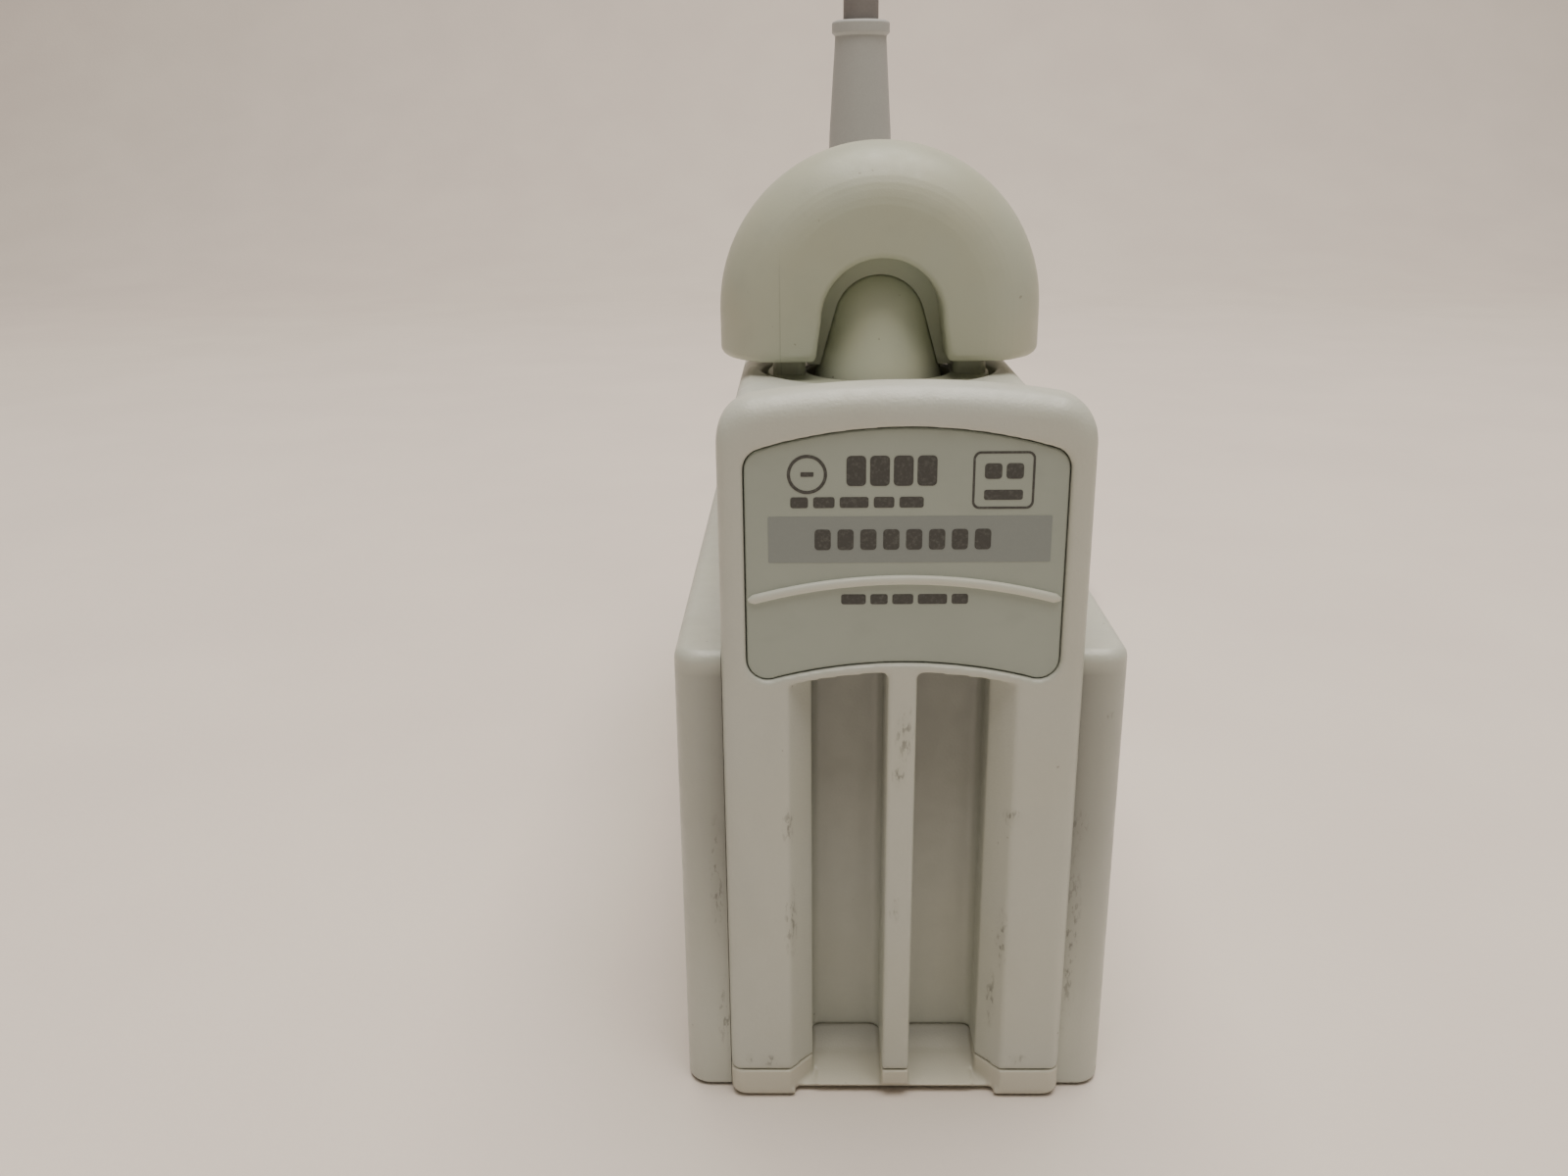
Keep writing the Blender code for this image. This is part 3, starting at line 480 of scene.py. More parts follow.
class Look:
    """A material in the making. Its patterns are placed in the row frame, in millimetres."""

    def __init__(self, name, **uniform):
        self.material = bpy.data.materials.new(name)
        self.material.use_nodes = True
        self.tree = self.material.node_tree
        self.shader = self.tree.nodes["Principled BSDF"]
        for socket, value in uniform.items():
            self.shader.inputs[socket.replace("_", " ")].default_value = value
        place = self.node("TexCoord").outputs["Object"]
        self.place = self.vector("SCALE", {0: place, 3: 1 / MM})
        self.height = None

    def node(self, kind, **settings):
        """A new node with its settings made."""
        made = self.tree.nodes.new("ShaderNode" + kind)
        for key, value in settings.items():
            setattr(made, key, value)
        return made

    def wire(self, kind, inputs, output=0, **settings):
        """A node with its inputs set or linked, and one of its outputs."""
        made = self.node(kind, **settings)
        for key, value in inputs.items():
            if isinstance(value, bpy.types.NodeSocket):
                self.tree.links.new(value, made.inputs[key])
            else:
                made.inputs[key].default_value = value
        return made.outputs[output]

    def math(self, operation, a, b=0.0):
        return self.wire("Math", {0: a, 1: b}, operation=operation)

    def times(self, a, b):
        return self.math("MULTIPLY", a, b)

    def vector(self, operation, inputs, output=0):
        return self.wire("VectorMath", inputs, output, operation=operation)

    def noise(self, size, detail=2.0, stretch=(1.0, 1.0, 1.0)):
        """Noise with features of a size, drawn out along the axes by stretch."""
        squeezed = tuple(1 / (size * s) for s in stretch)
        place = self.vector("MULTIPLY", {0: self.place, 1: squeezed})
        return self.wire("TexNoise", {"Vector": place, "Scale": 1.0, "Detail": detail})

    def levels(self, value, low, high, to_low=0.0, to_high=1.0):
        """value brought from low..high to to_low..to_high, and held there outside them."""
        return self.wire("MapRange", {0: value, 1: low, 2: high, 3: to_low, 4: to_high})

    def axis(self, name):
        """How far along one axis a place is."""
        return self.wire("SeparateXYZ", {0: self.place}, output=name)

    def spot(self, centre, reach, soft=0.5):
        """1 at a point, falling to 0 at the surface of an ellipsoid round it."""
        away = self.vector("SUBTRACT", {0: self.place, 1: centre})
        share = self.vector("DIVIDE", {0: away, 1: reach})
        length = self.vector("LENGTH", {0: share}, output=1)
        return self.levels(length, 1.0, soft)

    def spots(self, places, soft=0.5):
        """The strongest of several spots, each a centre and a reach."""
        total = None
        for centre, reach in places:
            one = self.spot(centre, reach, soft)
            total = one if total is None else self.math("MAXIMUM", total, one)
        return total

    def blend(self, share, a, b):
        """Colour a where share is 0, and b where it is 1."""
        full = [(*c, 1.0) if isinstance(c, tuple) else c for c in (a, b)]
        inputs = {0: share, 6: full[0], 7: full[1]}
        return self.wire("Mix", inputs, output=2, data_type="RGBA")

    def colour(self, value):
        self.tree.links.new(value, self.shader.inputs["Base Color"])

    def roughness(self, pattern, rough):
        """Roughness between two values, as a pattern goes from its low to its high parts."""
        value = self.levels(pattern, 0.3, 0.7, *rough)
        self.tree.links.new(value, self.shader.inputs["Roughness"])

    def bump(self, value, depth):
        """Relief of a depth in millimetres, on top of any relief before it."""
        inputs = {"Height": value, "Distance": depth * MM, "Strength": 1.0}
        if self.height:
            inputs["Normal"] = self.height
        self.height = self.wire("Bump", inputs)

    def done(self):
        """The finished material."""
        if self.height:
            self.tree.links.new(self.height, self.shader.inputs["Normal"])
        return self.material


def shade(colour, factor):
    return tuple(c * factor for c in colour)


def painted_recess_shade(look):
    """Painted shade in the guide channels, darker upwards, on the base's ramps there, and beside the
    columns.
    """
    across, along = (look.math("ABSOLUTE", look.axis(name)) for name in "XY")
    up = look.axis("Z")
    below_label = look.levels(up, 58.5, 57.5)
    inside = look.times(look.levels(across, CHANNEL_EDGE + 0.4, CHANNEL_EDGE), below_label)
    deep = look.times(inside, look.levels(along, 73.5, 66.5))
    channel = look.times(deep, look.levels(up, 6.0, 52.0, 0.0, 0.5))
    on_ramp = look.times(deep, look.levels(up, SEAM + 0.05, SEAM - 0.05))
    channel = look.math("MAXIMUM", channel, on_ramp)
    outside_column = look.levels(across, COLUMN_HALF - 0.05, COLUMN_HALF + 0.15)
    beside = look.times(look.levels(across, 27.5, 20.6), outside_column)
    strip = look.times(beside, look.levels(up, 8.0, 36.0, 0.0, 0.7))
    strip = look.times(strip, look.levels(up, 58.0, 56.0))
    return look.math("MAXIMUM", channel, strip)


def plastic(name, colour, worn=(), grain=0.34, relief=0.035, rough=(0.3, 0.5), shade_in_recesses=0.0):
    """Moulded plastic with a fine spark-eroded grain, slight yellowing and places worn dirty."""
    look = Look(name, Specular_IOR_Level=0.62)
    yellowed = (colour[0], colour[1] * 0.985, colour[2] * 0.94)
    tone = look.blend(look.levels(look.noise(24.0, 3.0), 0.35, 0.68), colour, yellowed)
    fine = look.noise(grain)
    tone = look.blend(look.levels(fine, 0.3, 0.7, 0.0, 0.05), tone, shade(colour, 0.7))
    # thin films of grime, drawn out downwards
    runs = look.noise(7.0, 4.0, (1.0, 1.0, 3.0))
    film = look.times(look.levels(runs, 0.5, 0.75), 0.12)
    tone = look.blend(film, tone, shade(colour, 0.62))
    # painted shade in the guide channels, on the ramps at their feet and beside the columns
    if shade_in_recesses:
        tone = look.blend(look.times(painted_recess_shade(look), shade_in_recesses), tone, PAINTED_SHADE)
    if worn:
        streak = look.levels(look.noise(0.55, 3.0, (0.8, 0.8, 2.2)), 0.53, 0.64)
        dirt = look.times(look.spots(worn, 0.25), streak)
        tone = look.blend(look.times(dirt, 0.6), tone, SCUFF)
        tone = look.blend(look.times(look.spots(worn, 0.0), 0.12), tone, HAZE)
    speck = look.levels(look.noise(1.1, 1.0), 0.79, 0.82, 0.0, 0.5)
    look.colour(look.blend(speck, tone, SPECK))
    look.roughness(look.noise(1.8, 3.0), rough)
    look.bump(fine, relief)
    look.bump(look.noise(5.0), 0.02)
    return look.done()


def handle_plastic(name, colour):
    """Smoother, yellower plastic with the fine line of a mould insert down its left leg."""
    look = Look(name, Specular_IOR_Level=0.5)
    cloud = look.levels(look.noise(16.0, 3.0), 0.35, 0.7)
    tone = look.blend(cloud, colour, (colour[0] * 1.02, colour[1] * 0.98, colour[2] * 0.93))
    handled = look.levels(look.noise(5.0, 4.0), 0.52, 0.74, 0.0, 0.1)
    tone = look.blend(handled, tone, shade(colour, 0.6))
    away = look.math("ABSOLUTE", look.math("ADD", look.axis("X"), 14.2))
    on_leg = look.levels(look.axis("Z"), 100.0, 94.0)
    line = look.times(look.levels(away, 0.1, 0.03), on_leg)
    tone = look.blend(look.times(line, 0.22), tone, shade(colour, 0.4))
    speck = look.levels(look.noise(1.3, 1.0), 0.79, 0.82, 0.0, 0.4)
    look.colour(look.blend(speck, tone, HANDLE_SPECK))
    look.roughness(look.noise(2.0, 3.0), (0.34, 0.5))
    look.bump(look.noise(0.3), 0.014)
    look.bump(look.noise(4.0), 0.02)
    look.bump(line, -0.03)
    return look.done()


def rubber(name, colour, grain=0.25, relief=0.02, rough=(0.5, 0.68)):
    """Soft moulded rubber or PVC with a matt, slightly dusty surface."""
    look = Look(name, Specular_IOR_Level=0.42)
    dust = look.levels(look.noise(3.0, 4.0), 0.42, 0.72, 0.0, 0.35)
    tone = look.blend(dust, colour, tuple(0.75 * c + 0.09 for c in colour))
    fine = look.noise(grain)
    look.colour(look.blend(look.levels(fine, 0.35, 0.65, 0.0, 0.12), tone, shade(colour, 0.6)))
    look.roughness(look.noise(2.2, 3.0), rough)
    look.bump(fine, relief)
    return look.done()


def metal(name, colour, brushed=(1.0, 1.0, 9.0), rough=(0.22, 0.42), relief=0.006):
    """Machined metal with fine tool marks drawn out along one axis."""
    look = Look(name, Metallic=1.0)
    marks = look.noise(0.12, 3.0, brushed)
    stain = look.levels(look.noise(4.0, 3.0), 0.45, 0.7, 0.0, 0.35)
    look.colour(look.blend(stain, colour, shade(colour, 0.66)))
    look.roughness(marks, rough)
    look.bump(marks, relief)
    return look.done()


def circuit_board():
    """Green solder mask with copper tracks showing through it."""
    look = Look("circuit_board", Coat_Weight=0.4, Coat_Roughness=0.15)
    lanes = look.math("FRACT", look.times(look.axis("Z"), 0.8))
    track = look.levels(look.math("ABSOLUTE", look.math("SUBTRACT", lanes, 0.5)), 0.16, 0.13)
    blocks = look.levels(look.noise(5.0, 0.0, (1.0, 3.0, 0.4)), 0.5, 0.52)
    shown = look.times(track, blocks)
    seen = look.times(shown, 0.7)
    look.colour(look.blend(seen, (0.016, 0.12, 0.05), (0.05, 0.26, 0.1)))
    look.roughness(look.noise(1.0, 3.0), (0.3, 0.45))
    look.bump(shown, 0.03)
    return look.done()


def webbing():
    """Hook-and-loop strap: a short pile over a close weave."""
    look = Look("webbing", Sheen_Weight=0.35, Sheen_Roughness=0.5, Specular_IOR_Level=0.2)
    warp = look.math("SINE", look.times(look.axis("Y"), 9.0))
    around = look.math("ADD", look.axis("X"), look.axis("Z"))
    weft = look.math("SINE", look.times(around, 6.0))
    weave = look.levels(look.times(warp, weft), -1.0, 1.0)
    pile = look.noise(0.22, 3.0)
    look.colour(look.blend(look.levels(pile, 0.3, 0.7), (0.012, 0.012, 0.014), (0.05, 0.05, 0.055)))
    look.roughness(pile, (0.8, 0.95))
    look.bump(weave, 0.12)
    look.bump(pile, 0.12)
    return look.done()


def label_face():
    """Satin label stock with a faint linen grain and a few smudges."""
    look = Look("label_face", Specular_IOR_Level=0.4)
    tone = look.blend(look.levels(look.noise(14.0, 3.0), 0.35, 0.7), LABEL, shade(LABEL, 0.94))
    smudge = look.levels(look.noise(3.2, 4.0, (1.6, 1.0, 1.0)), 0.56, 0.78, 0.0, 0.22)
    look.colour(look.blend(smudge, tone, shade(LABEL, 0.72)))
    look.roughness(look.noise(2.0, 3.0), (0.4, 0.56))
    look.bump(look.noise(0.22), 0.012)
    return look.done()


def printed(name, colour, breakup):
    """Screen-printed ink, a little broken where it has worn."""
    look = Look(name, Specular_IOR_Level=0.35)
    worn = look.levels(look.noise(0.3, 3.0), 0.5, 0.72, 0.0, breakup)
    look.colour(look.blend(worn, colour, LABEL))
    look.roughness(look.noise(0.4), (0.45, 0.65))
    look.bump(look.noise(0.18), 0.008)
    return look.done()


def looks():
    """Every finish of the object, by the record's slot or by a name of its own."""
    return {
        "housing": plastic("housing_plastic", HOUSING, SCUFFS, shade_in_recesses=1.0),
        "shell": plastic("shell_plastic", HOUSING, CORNER_STREAKS, shade_in_recesses=1.0),
        "head": plastic("head_plastic", HOUSING, (), 0.2, 0.01, (0.3, 0.42)),
        "handle": handle_plastic("handle_plastic", HANDLE),
        # painted light: the hub is the handle's plastic made lighter, against the shade of the arch
        # round it
        "hub": handle_plastic("hub_plastic_painted_lighter", shade(HANDLE, 1.36)),
        "base": plastic("base_plastic", BASE, grain=0.25, relief=0.02, shade_in_recesses=0.6),
        # painted highlight: the bead is the housing's plastic made lighter
        "bead": plastic("bead_plastic_painted_highlight", shade(HOUSING, 1.12), (), 0.2, 0.01, (0.36, 0.5)),
        "label": label_face(),
        "ink": printed("dark_ink", (0.07, 0.07, 0.066), 0.12),
        "strip": printed("grey_strip", (0.26, 0.29, 0.28), 0.05),
        "boot": rubber("boot_rubber", BOOT),
        "cable": rubber("cable_jacket", CABLE, grain=0.4, relief=0.03),
        "steel": metal("steel", (0.55, 0.55, 0.56)),
        "aluminium": metal("aluminium", (0.72, 0.72, 0.73), (1.0, 8.0, 1.0)),
        "brass": metal("brass", (0.72, 0.54, 0.27), (6.0, 6.0, 0.6)),
        "gold": metal("gold_plate", (0.88, 0.62, 0.26), (1.0, 1.0, 1.0), (0.16, 0.3), 0.003),
        "board": circuit_board(),
        "flex": rubber("polyimide", (0.5, 0.2, 0.035), 0.5, 0.005, (0.2, 0.35)),
        "insulator": rubber("insulator_plastic", (0.035, 0.035, 0.038), 0.3, 0.012, (0.35, 0.5)),
        "gasket": rubber("gasket_foam", (0.03, 0.03, 0.03), 0.35, 0.05, (0.75, 0.9)),
        "lens": rubber("lens_silicone", (0.13, 0.14, 0.155), 0.15, 0.004, (0.3, 0.42)),
        "strap": webbing(),
    }


# ---- housing


def column_outline(side_inset, top_inset, bottom):
    """An end cap's outline in X and Z: straight sides and an arched top with round corners."""
    half = COLUMN_HALF - side_inset
    top = RIM_TOP - top_inset
    arch = [(x, bowed(x, top, RIM_ARC)) for x in (13.5, 10.0, 6.0, 2.0, -2.0, -6.0, -10.0, -13.5)]
    shoulder = bowed(half, top, RIM_ARC)
    corners = [(-half, bottom), (half, bottom), (half, shoulder, COLUMN_CORNER), *arch]
    return rounded([*corners, (-half, shoulder, COLUMN_CORNER)], steps=12)


def label_outline(shrink=0.0):
    """The label's outline in X and Z, with its arched top and foot, made smaller by shrink."""
    half = LABEL_HALF - shrink
    xs = [-13.5 + 27.0 * i / 14 for i in range(15)]
    low = [(x, bowed(x, LABEL_BOTTOM, LABEL_ARC) + shrink) for x in xs]
    high = [(x, bowed(x, LABEL_TOP, LABEL_ARC) - shrink) for x in reversed(xs)]
    foot = bowed(LABEL_HALF, LABEL_BOTTOM, LABEL_ARC) + shrink
    head = bowed(LABEL_HALF, LABEL_TOP, LABEL_ARC) - shrink
    corner = LABEL_CORNER - shrink
    lower = [(-half, foot, corner), *low, (half, foot, corner)]
    return rounded([*lower, (half, head, corner), *high, (-half, head, corner)])


def arch_topped(plan, bottom, strips=14):
    """A vertical prism whose top follows the label's arched lower edge, in strips across X."""
    bm = bmesh.new()
    left, right = min(p[0] for p in plan), max(p[0] for p in plan)
    prism(plan, "Z", bottom, LABEL_BOTTOM, bm)
    for k in range(1, strips):
        x = left + (right - left) * k / strips
        geometry = [*bm.verts, *bm.edges, *bm.faces]
        bmesh.ops.bisect_plane(bm, geom=geometry, plane_co=(x, 0, 0), plane_no=(1, 0, 0))
    for v in bm.verts:
        if v.co.z > bottom + 1:
            v.co.z = bowed(v.co.x, LABEL_BOTTOM - LIP, LABEL_ARC)
    return bm


def channel_cut(side, bottom):
    """A deep guide channel beside the rib. side is 1 on the right and -1 on the left."""
    back = FRONT + CHANNEL_DEPTH
    near, far = side * RIB_HALF, side * CHANNEL_EDGE
    corners = [(near, FRONT - 1), (far, FRONT - 1), (far, back, 1.2), (near, back, 1.2)]
    return arch_topped(rounded(corners, steps=5), bottom)


def slant_cut(side, bottom):
    """The wedge that slants a rail's inner edge."""
    slope = (SLANT_EDGE - CHANNEL_EDGE) / SLANT_DEPTH
    inner = CHANNEL_EDGE - 0.5
    plan = [
        (side * inner, FRONT - 1),
        (side * (SLANT_EDGE + slope), FRONT - 1),
        (side * inner, FRONT + SLANT_DEPTH + 0.5 / slope),
    ]
    return arch_topped(plan, bottom, 6)


def end_cap():
    """Column with an arched rim, a label recess, and two rails and a rib between channels."""
    foot = SEAM + THIN_GAP
    rim, side_round, back_round = 3.0, 1.6, 1.4
    depths = [*edge_depths(rim, 9), CAP_UPPER_DEPTH - back_round]
    depths += [CAP_UPPER_DEPTH - d for d in reversed(edge_depths(back_round, 5)[:-1])]
    sections = []
    for depth in depths:
        top_inset = inset(rim, depth) + inset(back_round, CAP_UPPER_DEPTH - depth)
        outline = column_outline(inset(side_round, depth), top_inset, foot)
        sections.append([(x, FRONT + depth, z) for x, z in outline])
    deep = (FRONT + 4.0, FRONT + CAP_LOWER_DEPTH)
    back = block((-COLUMN_HALF, COLUMN_HALF), deep, (foot, BODY_TOP - GAP))
    cuts = [prism(label_outline(), "Y", FRONT - 1, FRONT + LABEL_RECESS)]
    for side in (-1, 1):
        cuts.append(channel_cut(side, foot - 1))
        cuts.append(slant_cut(side, foot - 1))
    return carved(loft(sections), [back], cuts)


def label_plate():
    """Flat panel with softly rounded edges that fills the label recess but for a fine gap."""
    edge, gap = 0.22, 0.14
    sections = []
    for depth in [*edge_depths(edge, 4), FRONT + LABEL_RECESS - 0.1 - LABEL_FACE]:
        outline = label_outline(gap + inset(edge, depth))
        sections.append([(x, LABEL_FACE + depth, z) for x, z in outline])
    return as_mesh(loft(sections))


def label_bead():
    """Half-round bead that arches across the panel, from edge to edge."""
    half, steps = LABEL_HALF - 0.4, 14
    turns = [math.pi * k / steps for k in range(steps + 1)]
    rings = []
    for i in range(61):
        x = half * (i / 30 - 1)
        taper = min(1.0, (half - abs(x) + 0.05) / RIDGE_R)
        radius = RIDGE_R * math.sqrt(taper * (2 - taper))
        middle = Vector((x, LABEL_FACE + 0.02, bowed(x, RIDGE_TOP - RIDGE_R, RIDGE_ARC)))
        rise = Vector((x / RIDGE_ARC, 0.0, 1.0)).normalized()
        out = Vector((0.0, -0.92, 0.0))
        rings.append([middle + radius * (rise * math.cos(a) + out * math.sin(a)) for a in turns])
    return as_mesh(loft(rings))


def lower_shell():
    """Wide tray, open below and at both ends, with a level top round the grip shell."""
    top_round, foot_round, corner = 1.5, 0.6, 3.0
    levels = [(GAP + d, inset(foot_round, d)) for d in edge_depths(foot_round, 5)]
    levels += [(BODY_TOP - d, inset(top_round, d)) for d in reversed(edge_depths(top_round, 7))]
    sections = []
    for z, edge in levels:
        outline = rounded_box(BODY_HALF - edge, -BODY_FRONT - edge, corner - edge, 12)
        sections.append([(x, y, z) for x, y in outline])
    roof = BODY_TOP - WALL
    inner = prism(rounded_box(BODY_HALF - WALL, -BODY_FRONT - WALL, 1.5), "Z", -1.0, roof)
    cuts = [inner, block((-16.5, 16.5), (-58.0, 58.0), (roof - 1, BODY_TOP + 1))]
    door = COLUMN_HALF + THIN_GAP
    for side in (-1, 1):
        span = sorted((side * (FRONT + CAP_LOWER_DEPTH + GAP), side * (FRONT - 1)))
        cuts.append(block((-door, door), span, (-1.0, BODY_TOP + 1)))
    return carved(loft(sections), cuts=cuts)


def grip_shell():
    """Upper housing: the deck, the latch's pocket and the cable's outlet."""
    low, edge = BODY_TOP + GAP, 2.35
    end = -FRONT - CAP_UPPER_DEPTH - 0.1
    foot = [(-COLUMN_HALF, low, 0.4), (COLUMN_HALF, low, 0.4)]
    outline = rounded([*foot, (COLUMN_HALF, DECK, edge), (-COLUMN_HALF, DECK, edge)], 10)
    inner, roof, pocket_roof = COLUMN_HALF - WALL, DECK - WALL, 71.0
    hollow = [(WALL - end, low - 1), (end - WALL, low - 1), (end - WALL, roof), (8.0, roof)]
    hollow += [(8.0, pocket_roof), (-38.0, pocket_roof), (-38.0, roof), (WALL - end, roof)]
    well = [(0, POCKET_FLOOR), (POCKET_R - 1.2, POCKET_FLOOR)]
    well += [(POCKET_R - 0.35, POCKET_FLOOR + 0.35), (POCKET_R, POCKET_FLOOR + 1.2)]
    for d in edge_depths(POCKET_LIP, 6)[1:]:
        well.append((POCKET_R + inset(POCKET_LIP, POCKET_LIP - d), DECK - POCKET_LIP + d))
    well += [(POCKET_R + POCKET_LIP, DECK + 1), (0, DECK + 1)]
    cuts = [
        prism(hollow, "X", -inner, inner),
        turned(well, LATCH, 128),
        prism(circle(*LATCH, 6.6, 64), "Z", pocket_roof - 1, POCKET_FLOOR + 1),
        prism(circle(*CABLE_EXIT[:2], 5.5, 64), "Z", roof - 1, DECK + 1),
    ]
    return carved(prism(outline, "Y", -end, end), cuts=cuts)


def base_frame():
    """Frame round the mating opening, with the rails' and rib's toes at both ends."""
    sections = []
    toe = 1.3  # rounding under the toes
    for depth in [*edge_depths(toe, 6), SEAM]:
        edge = inset(toe, depth)
        outline = rounded_box(COLUMN_HALF - edge, -FRONT - edge, 1.6)
        sections.append([(x, y, depth) for x, y in outline])
    cuts = [
        block((-19.0, 19.0), (-54.0, 54.0), (-1.0, SEAM + 1)),
        block((-24.0, 24.0), (-61.5, 61.5), (-1.0, 1.0)),
    ]
    back = FRONT + CHANNEL_DEPTH
    ramp = [(FRONT - 1, SEAM + 1), (back, SEAM + 1), (back, SEAM - 0.02)]
    ramp += [(back - 3.0, 2.6), (back - 6.0, 1.7), (FRONT + 0.6, LIP_TOP), (FRONT - 1, LIP_TOP)]
    under = [(FRONT - 1, -1.0), (FRONT - 1, 2.2), (FRONT, 2.2), (FRONT + 3.2, -1.0)]
    for end in (1, -1):
        solids = [prism(under, "X", 0.6 - SLANT_EDGE, SLANT_EDGE - 0.6)]
        for side in (-1, 1):
            solids.append(prism(ramp, "X", *sorted((side * RIB_HALF, side * CHANNEL_EDGE))))
            solids.append(slant_cut(side, LIP_TOP))
            spot = (side * SCREW_SPOT[0], -SCREW_SPOT[1])
            solids.append(prism(circle(*spot, 1.8, 32), "Z", -1.0, SEAM + 1))
            solids.append(prism(circle(*spot, 3.1, 48), "Z", -1.0, 2.6))
        for bm in solids:
            if end == -1:
                bmesh.ops.rotate(bm, matrix=Matrix.Rotation(math.pi, 3, "Z"), verts=bm.verts)
            cuts.append(bm)
    plate = prism(rounded_box(23.4, 70.2, 1.6), "Z", 1.0, SEAM)
    return carved(loft(sections), [plate], cuts)


def printed_marks():
    """Plain marks where a rating plate has its print: two outlines, rows of blocks and a strip."""
    ink, strip = bmesh.new(), bmesh.new()
    sunk = 0.02

    def mark(outline, bm, lift=0.0):
        prism(outline, "Y", LABEL_FACE - lift - INK_THICK, LABEL_FACE - lift + sunk, bm)

    def ring(outer, inner):
        front, back = LABEL_FACE - INK_THICK, LABEL_FACE + sunk
        around = ((outer, front), (outer, back), (inner, back), (inner, front))
        loft([[(x, y, z) for x, z in line] for line, y in around], ink, closed=True)

    def row(x, z, widths, height, gap, lift=0.0):
        for width in widths:
            half, corner = width / 2, min(width, height) * 0.22
            shape = rounded_box(half, height / 2, corner, 3)
            mark(moved(shape, x + half, z + height / 2), ink, lift)
            x += width + gap

    ring(circle(*DIAL_MIDDLE, 2.15, 48), circle(*DIAL_MIDDLE, 1.8, 48))
    frame_lines = (rounded_box(3.3, 3.15, 0.8, 6), rounded_box(3.05, 2.9, 0.6, 6))
    ring(*(moved(line, *FRAME_MIDDLE) for line in frame_lines))
    for line in PRINT_ROWS:
        row(*line)
    mark(moved(rounded_box(*STRIP_BOX[2:], 0.15, 3), *STRIP_BOX[:2]), strip)
    row(*STRIP_ROW, lift=INK_THICK)
    return ink, strip


def build_housing(look):
    """The end caps, their panels and print, both shells and the base."""
    skin = {"body": "housing", "slot": "housing"}
    plate = {"body": "housing", "slot": "label"}
    back = {"turned_round": True}
    cap, panel, bead = moulded(end_cap(), MOULD_GRAIN), label_plate(), label_bead()
    show("housing_front_cap", cap.copy(), look["housing"], **skin, replaces=["front_end_cap"], sharp=0)
    show("housing_rear_cap", cap, look["shell"], **skin, replaces=["rear_end_cap"], sharp=0, **back)
    show("front_label_panel", panel.copy(), look["label"], **plate, replaces=["label_plate"], sharp=30)
    show("rear_panel", panel, look["label"], **plate, replaces=["rear_plate"], sharp=30, **back)
    show("front_label_bead", bead.copy(), look["bead"], **skin, sharp=50)
    show("rear_panel_bead", bead, look["bead"], **skin, sharp=50, **back)
    ink, strip = printed_marks()
    show("label_print", as_mesh(ink), look["ink"], **plate)
    show("label_strip", as_mesh(strip), look["strip"], **plate)
    show("lower_housing", lower_shell(), look["shell"], **skin, replaces=["lower_shell"])
    show("upper_housing", grip_shell(), look["shell"], **skin, replaces=["grip_shell"])
    base = moulded(base_frame(), BASE_GRAIN, 3)
    show("base_plate", base, look["base"], "housing", "base", ["base_frame"], sharp=0)


# ---- latch


def handle_section(y):
    """The horseshoe's outline at a distance from its middle plane."""
    behind = HANDLE_HALF_DEPTH - abs(y)
    radius = HANDLE_HALF - inset(HANDLE_ROUND, behind)
    centre = HANDLE_TOP - HANDLE_HALF
    foot = HANDLE_BOTTOM + inset(FOOT_EDGE, behind)
    grown = inset(ARCH_EDGE, behind)
    heel = []
    for a in (0, 0.4, 0.8, 1.2, 1.57):
        heel.append((radius - HEEL_R + HEEL_R * math.sin(a), foot + HEEL_R - HEEL_R * math.cos(a)))
    outer = [*heel, *arc(0, centre, radius, 0, 180, 64), *[(-x, z) for x, z in reversed(heel)]]
    flare = ARCH_FLARE + grown
    toe = [(flare + 0.7, foot), (flare + 0.25, foot + 0.2), (flare, foot + 0.7)]
    inner = [(-x, z) for x, z in toe]
    inner += arc(0, ARCH_CENTRE, ARCH_HALF + grown, 180, 0, 48)
    inner += reversed(toe)
    return [(x, LATCH[1] + y, z) for x, z in outer + inner]


def handle():
    """Horseshoe whose arch is closed round the hub, on two stubs and a skirt in the pocket."""
    near = {*edge_depths(HANDLE_ROUND, 14), *edge_depths(ARCH_EDGE, 4), *edge_depths(FOOT_EDGE, 4)}
    ys = [d - HANDLE_HALF_DEPTH for d in sorted(near)]
    ys += [-y for y in reversed(ys)]
    skirt = [(10.6, 77.0), (16.8, 77.0), (16.8, 78.6), (16.2, 81.4), (10.6, 81.4)]
    joins = [turned(rounded([(r, z, 0.4) for r, z in skirt], 4), LATCH)]
    grown = ARCH_EDGE + 0.3
    web = [(-ARCH_FLARE - grown, WEB_BOTTOM), (ARCH_FLARE + grown, WEB_BOTTOM)]
    web += arc(0, ARCH_CENTRE, ARCH_HALF + grown, 0, 180, 48)
    wall = prism(web, "Y", LATCH[1] + WEB_DEPTH[0], LATCH[1] + WEB_DEPTH[1])
    seat = turned([(0, HUB_FOOT), *hub_outline(0.2)], LATCH, 96)
    closed = bmesh.new()
    closed.from_mesh(carved(wall, cuts=[seat]))
    joins.append(closed)
    for side in (-1, 1):
        stub = moved(rounded_box(2.35, 5.0, 1.2), side * STUB_X, LATCH[1])
        joins.append(prism(stub, "Z", 78.0, HANDLE_BOTTOM + 2.5))
    return carved(loft([handle_section(y) for y in ys]), joins)


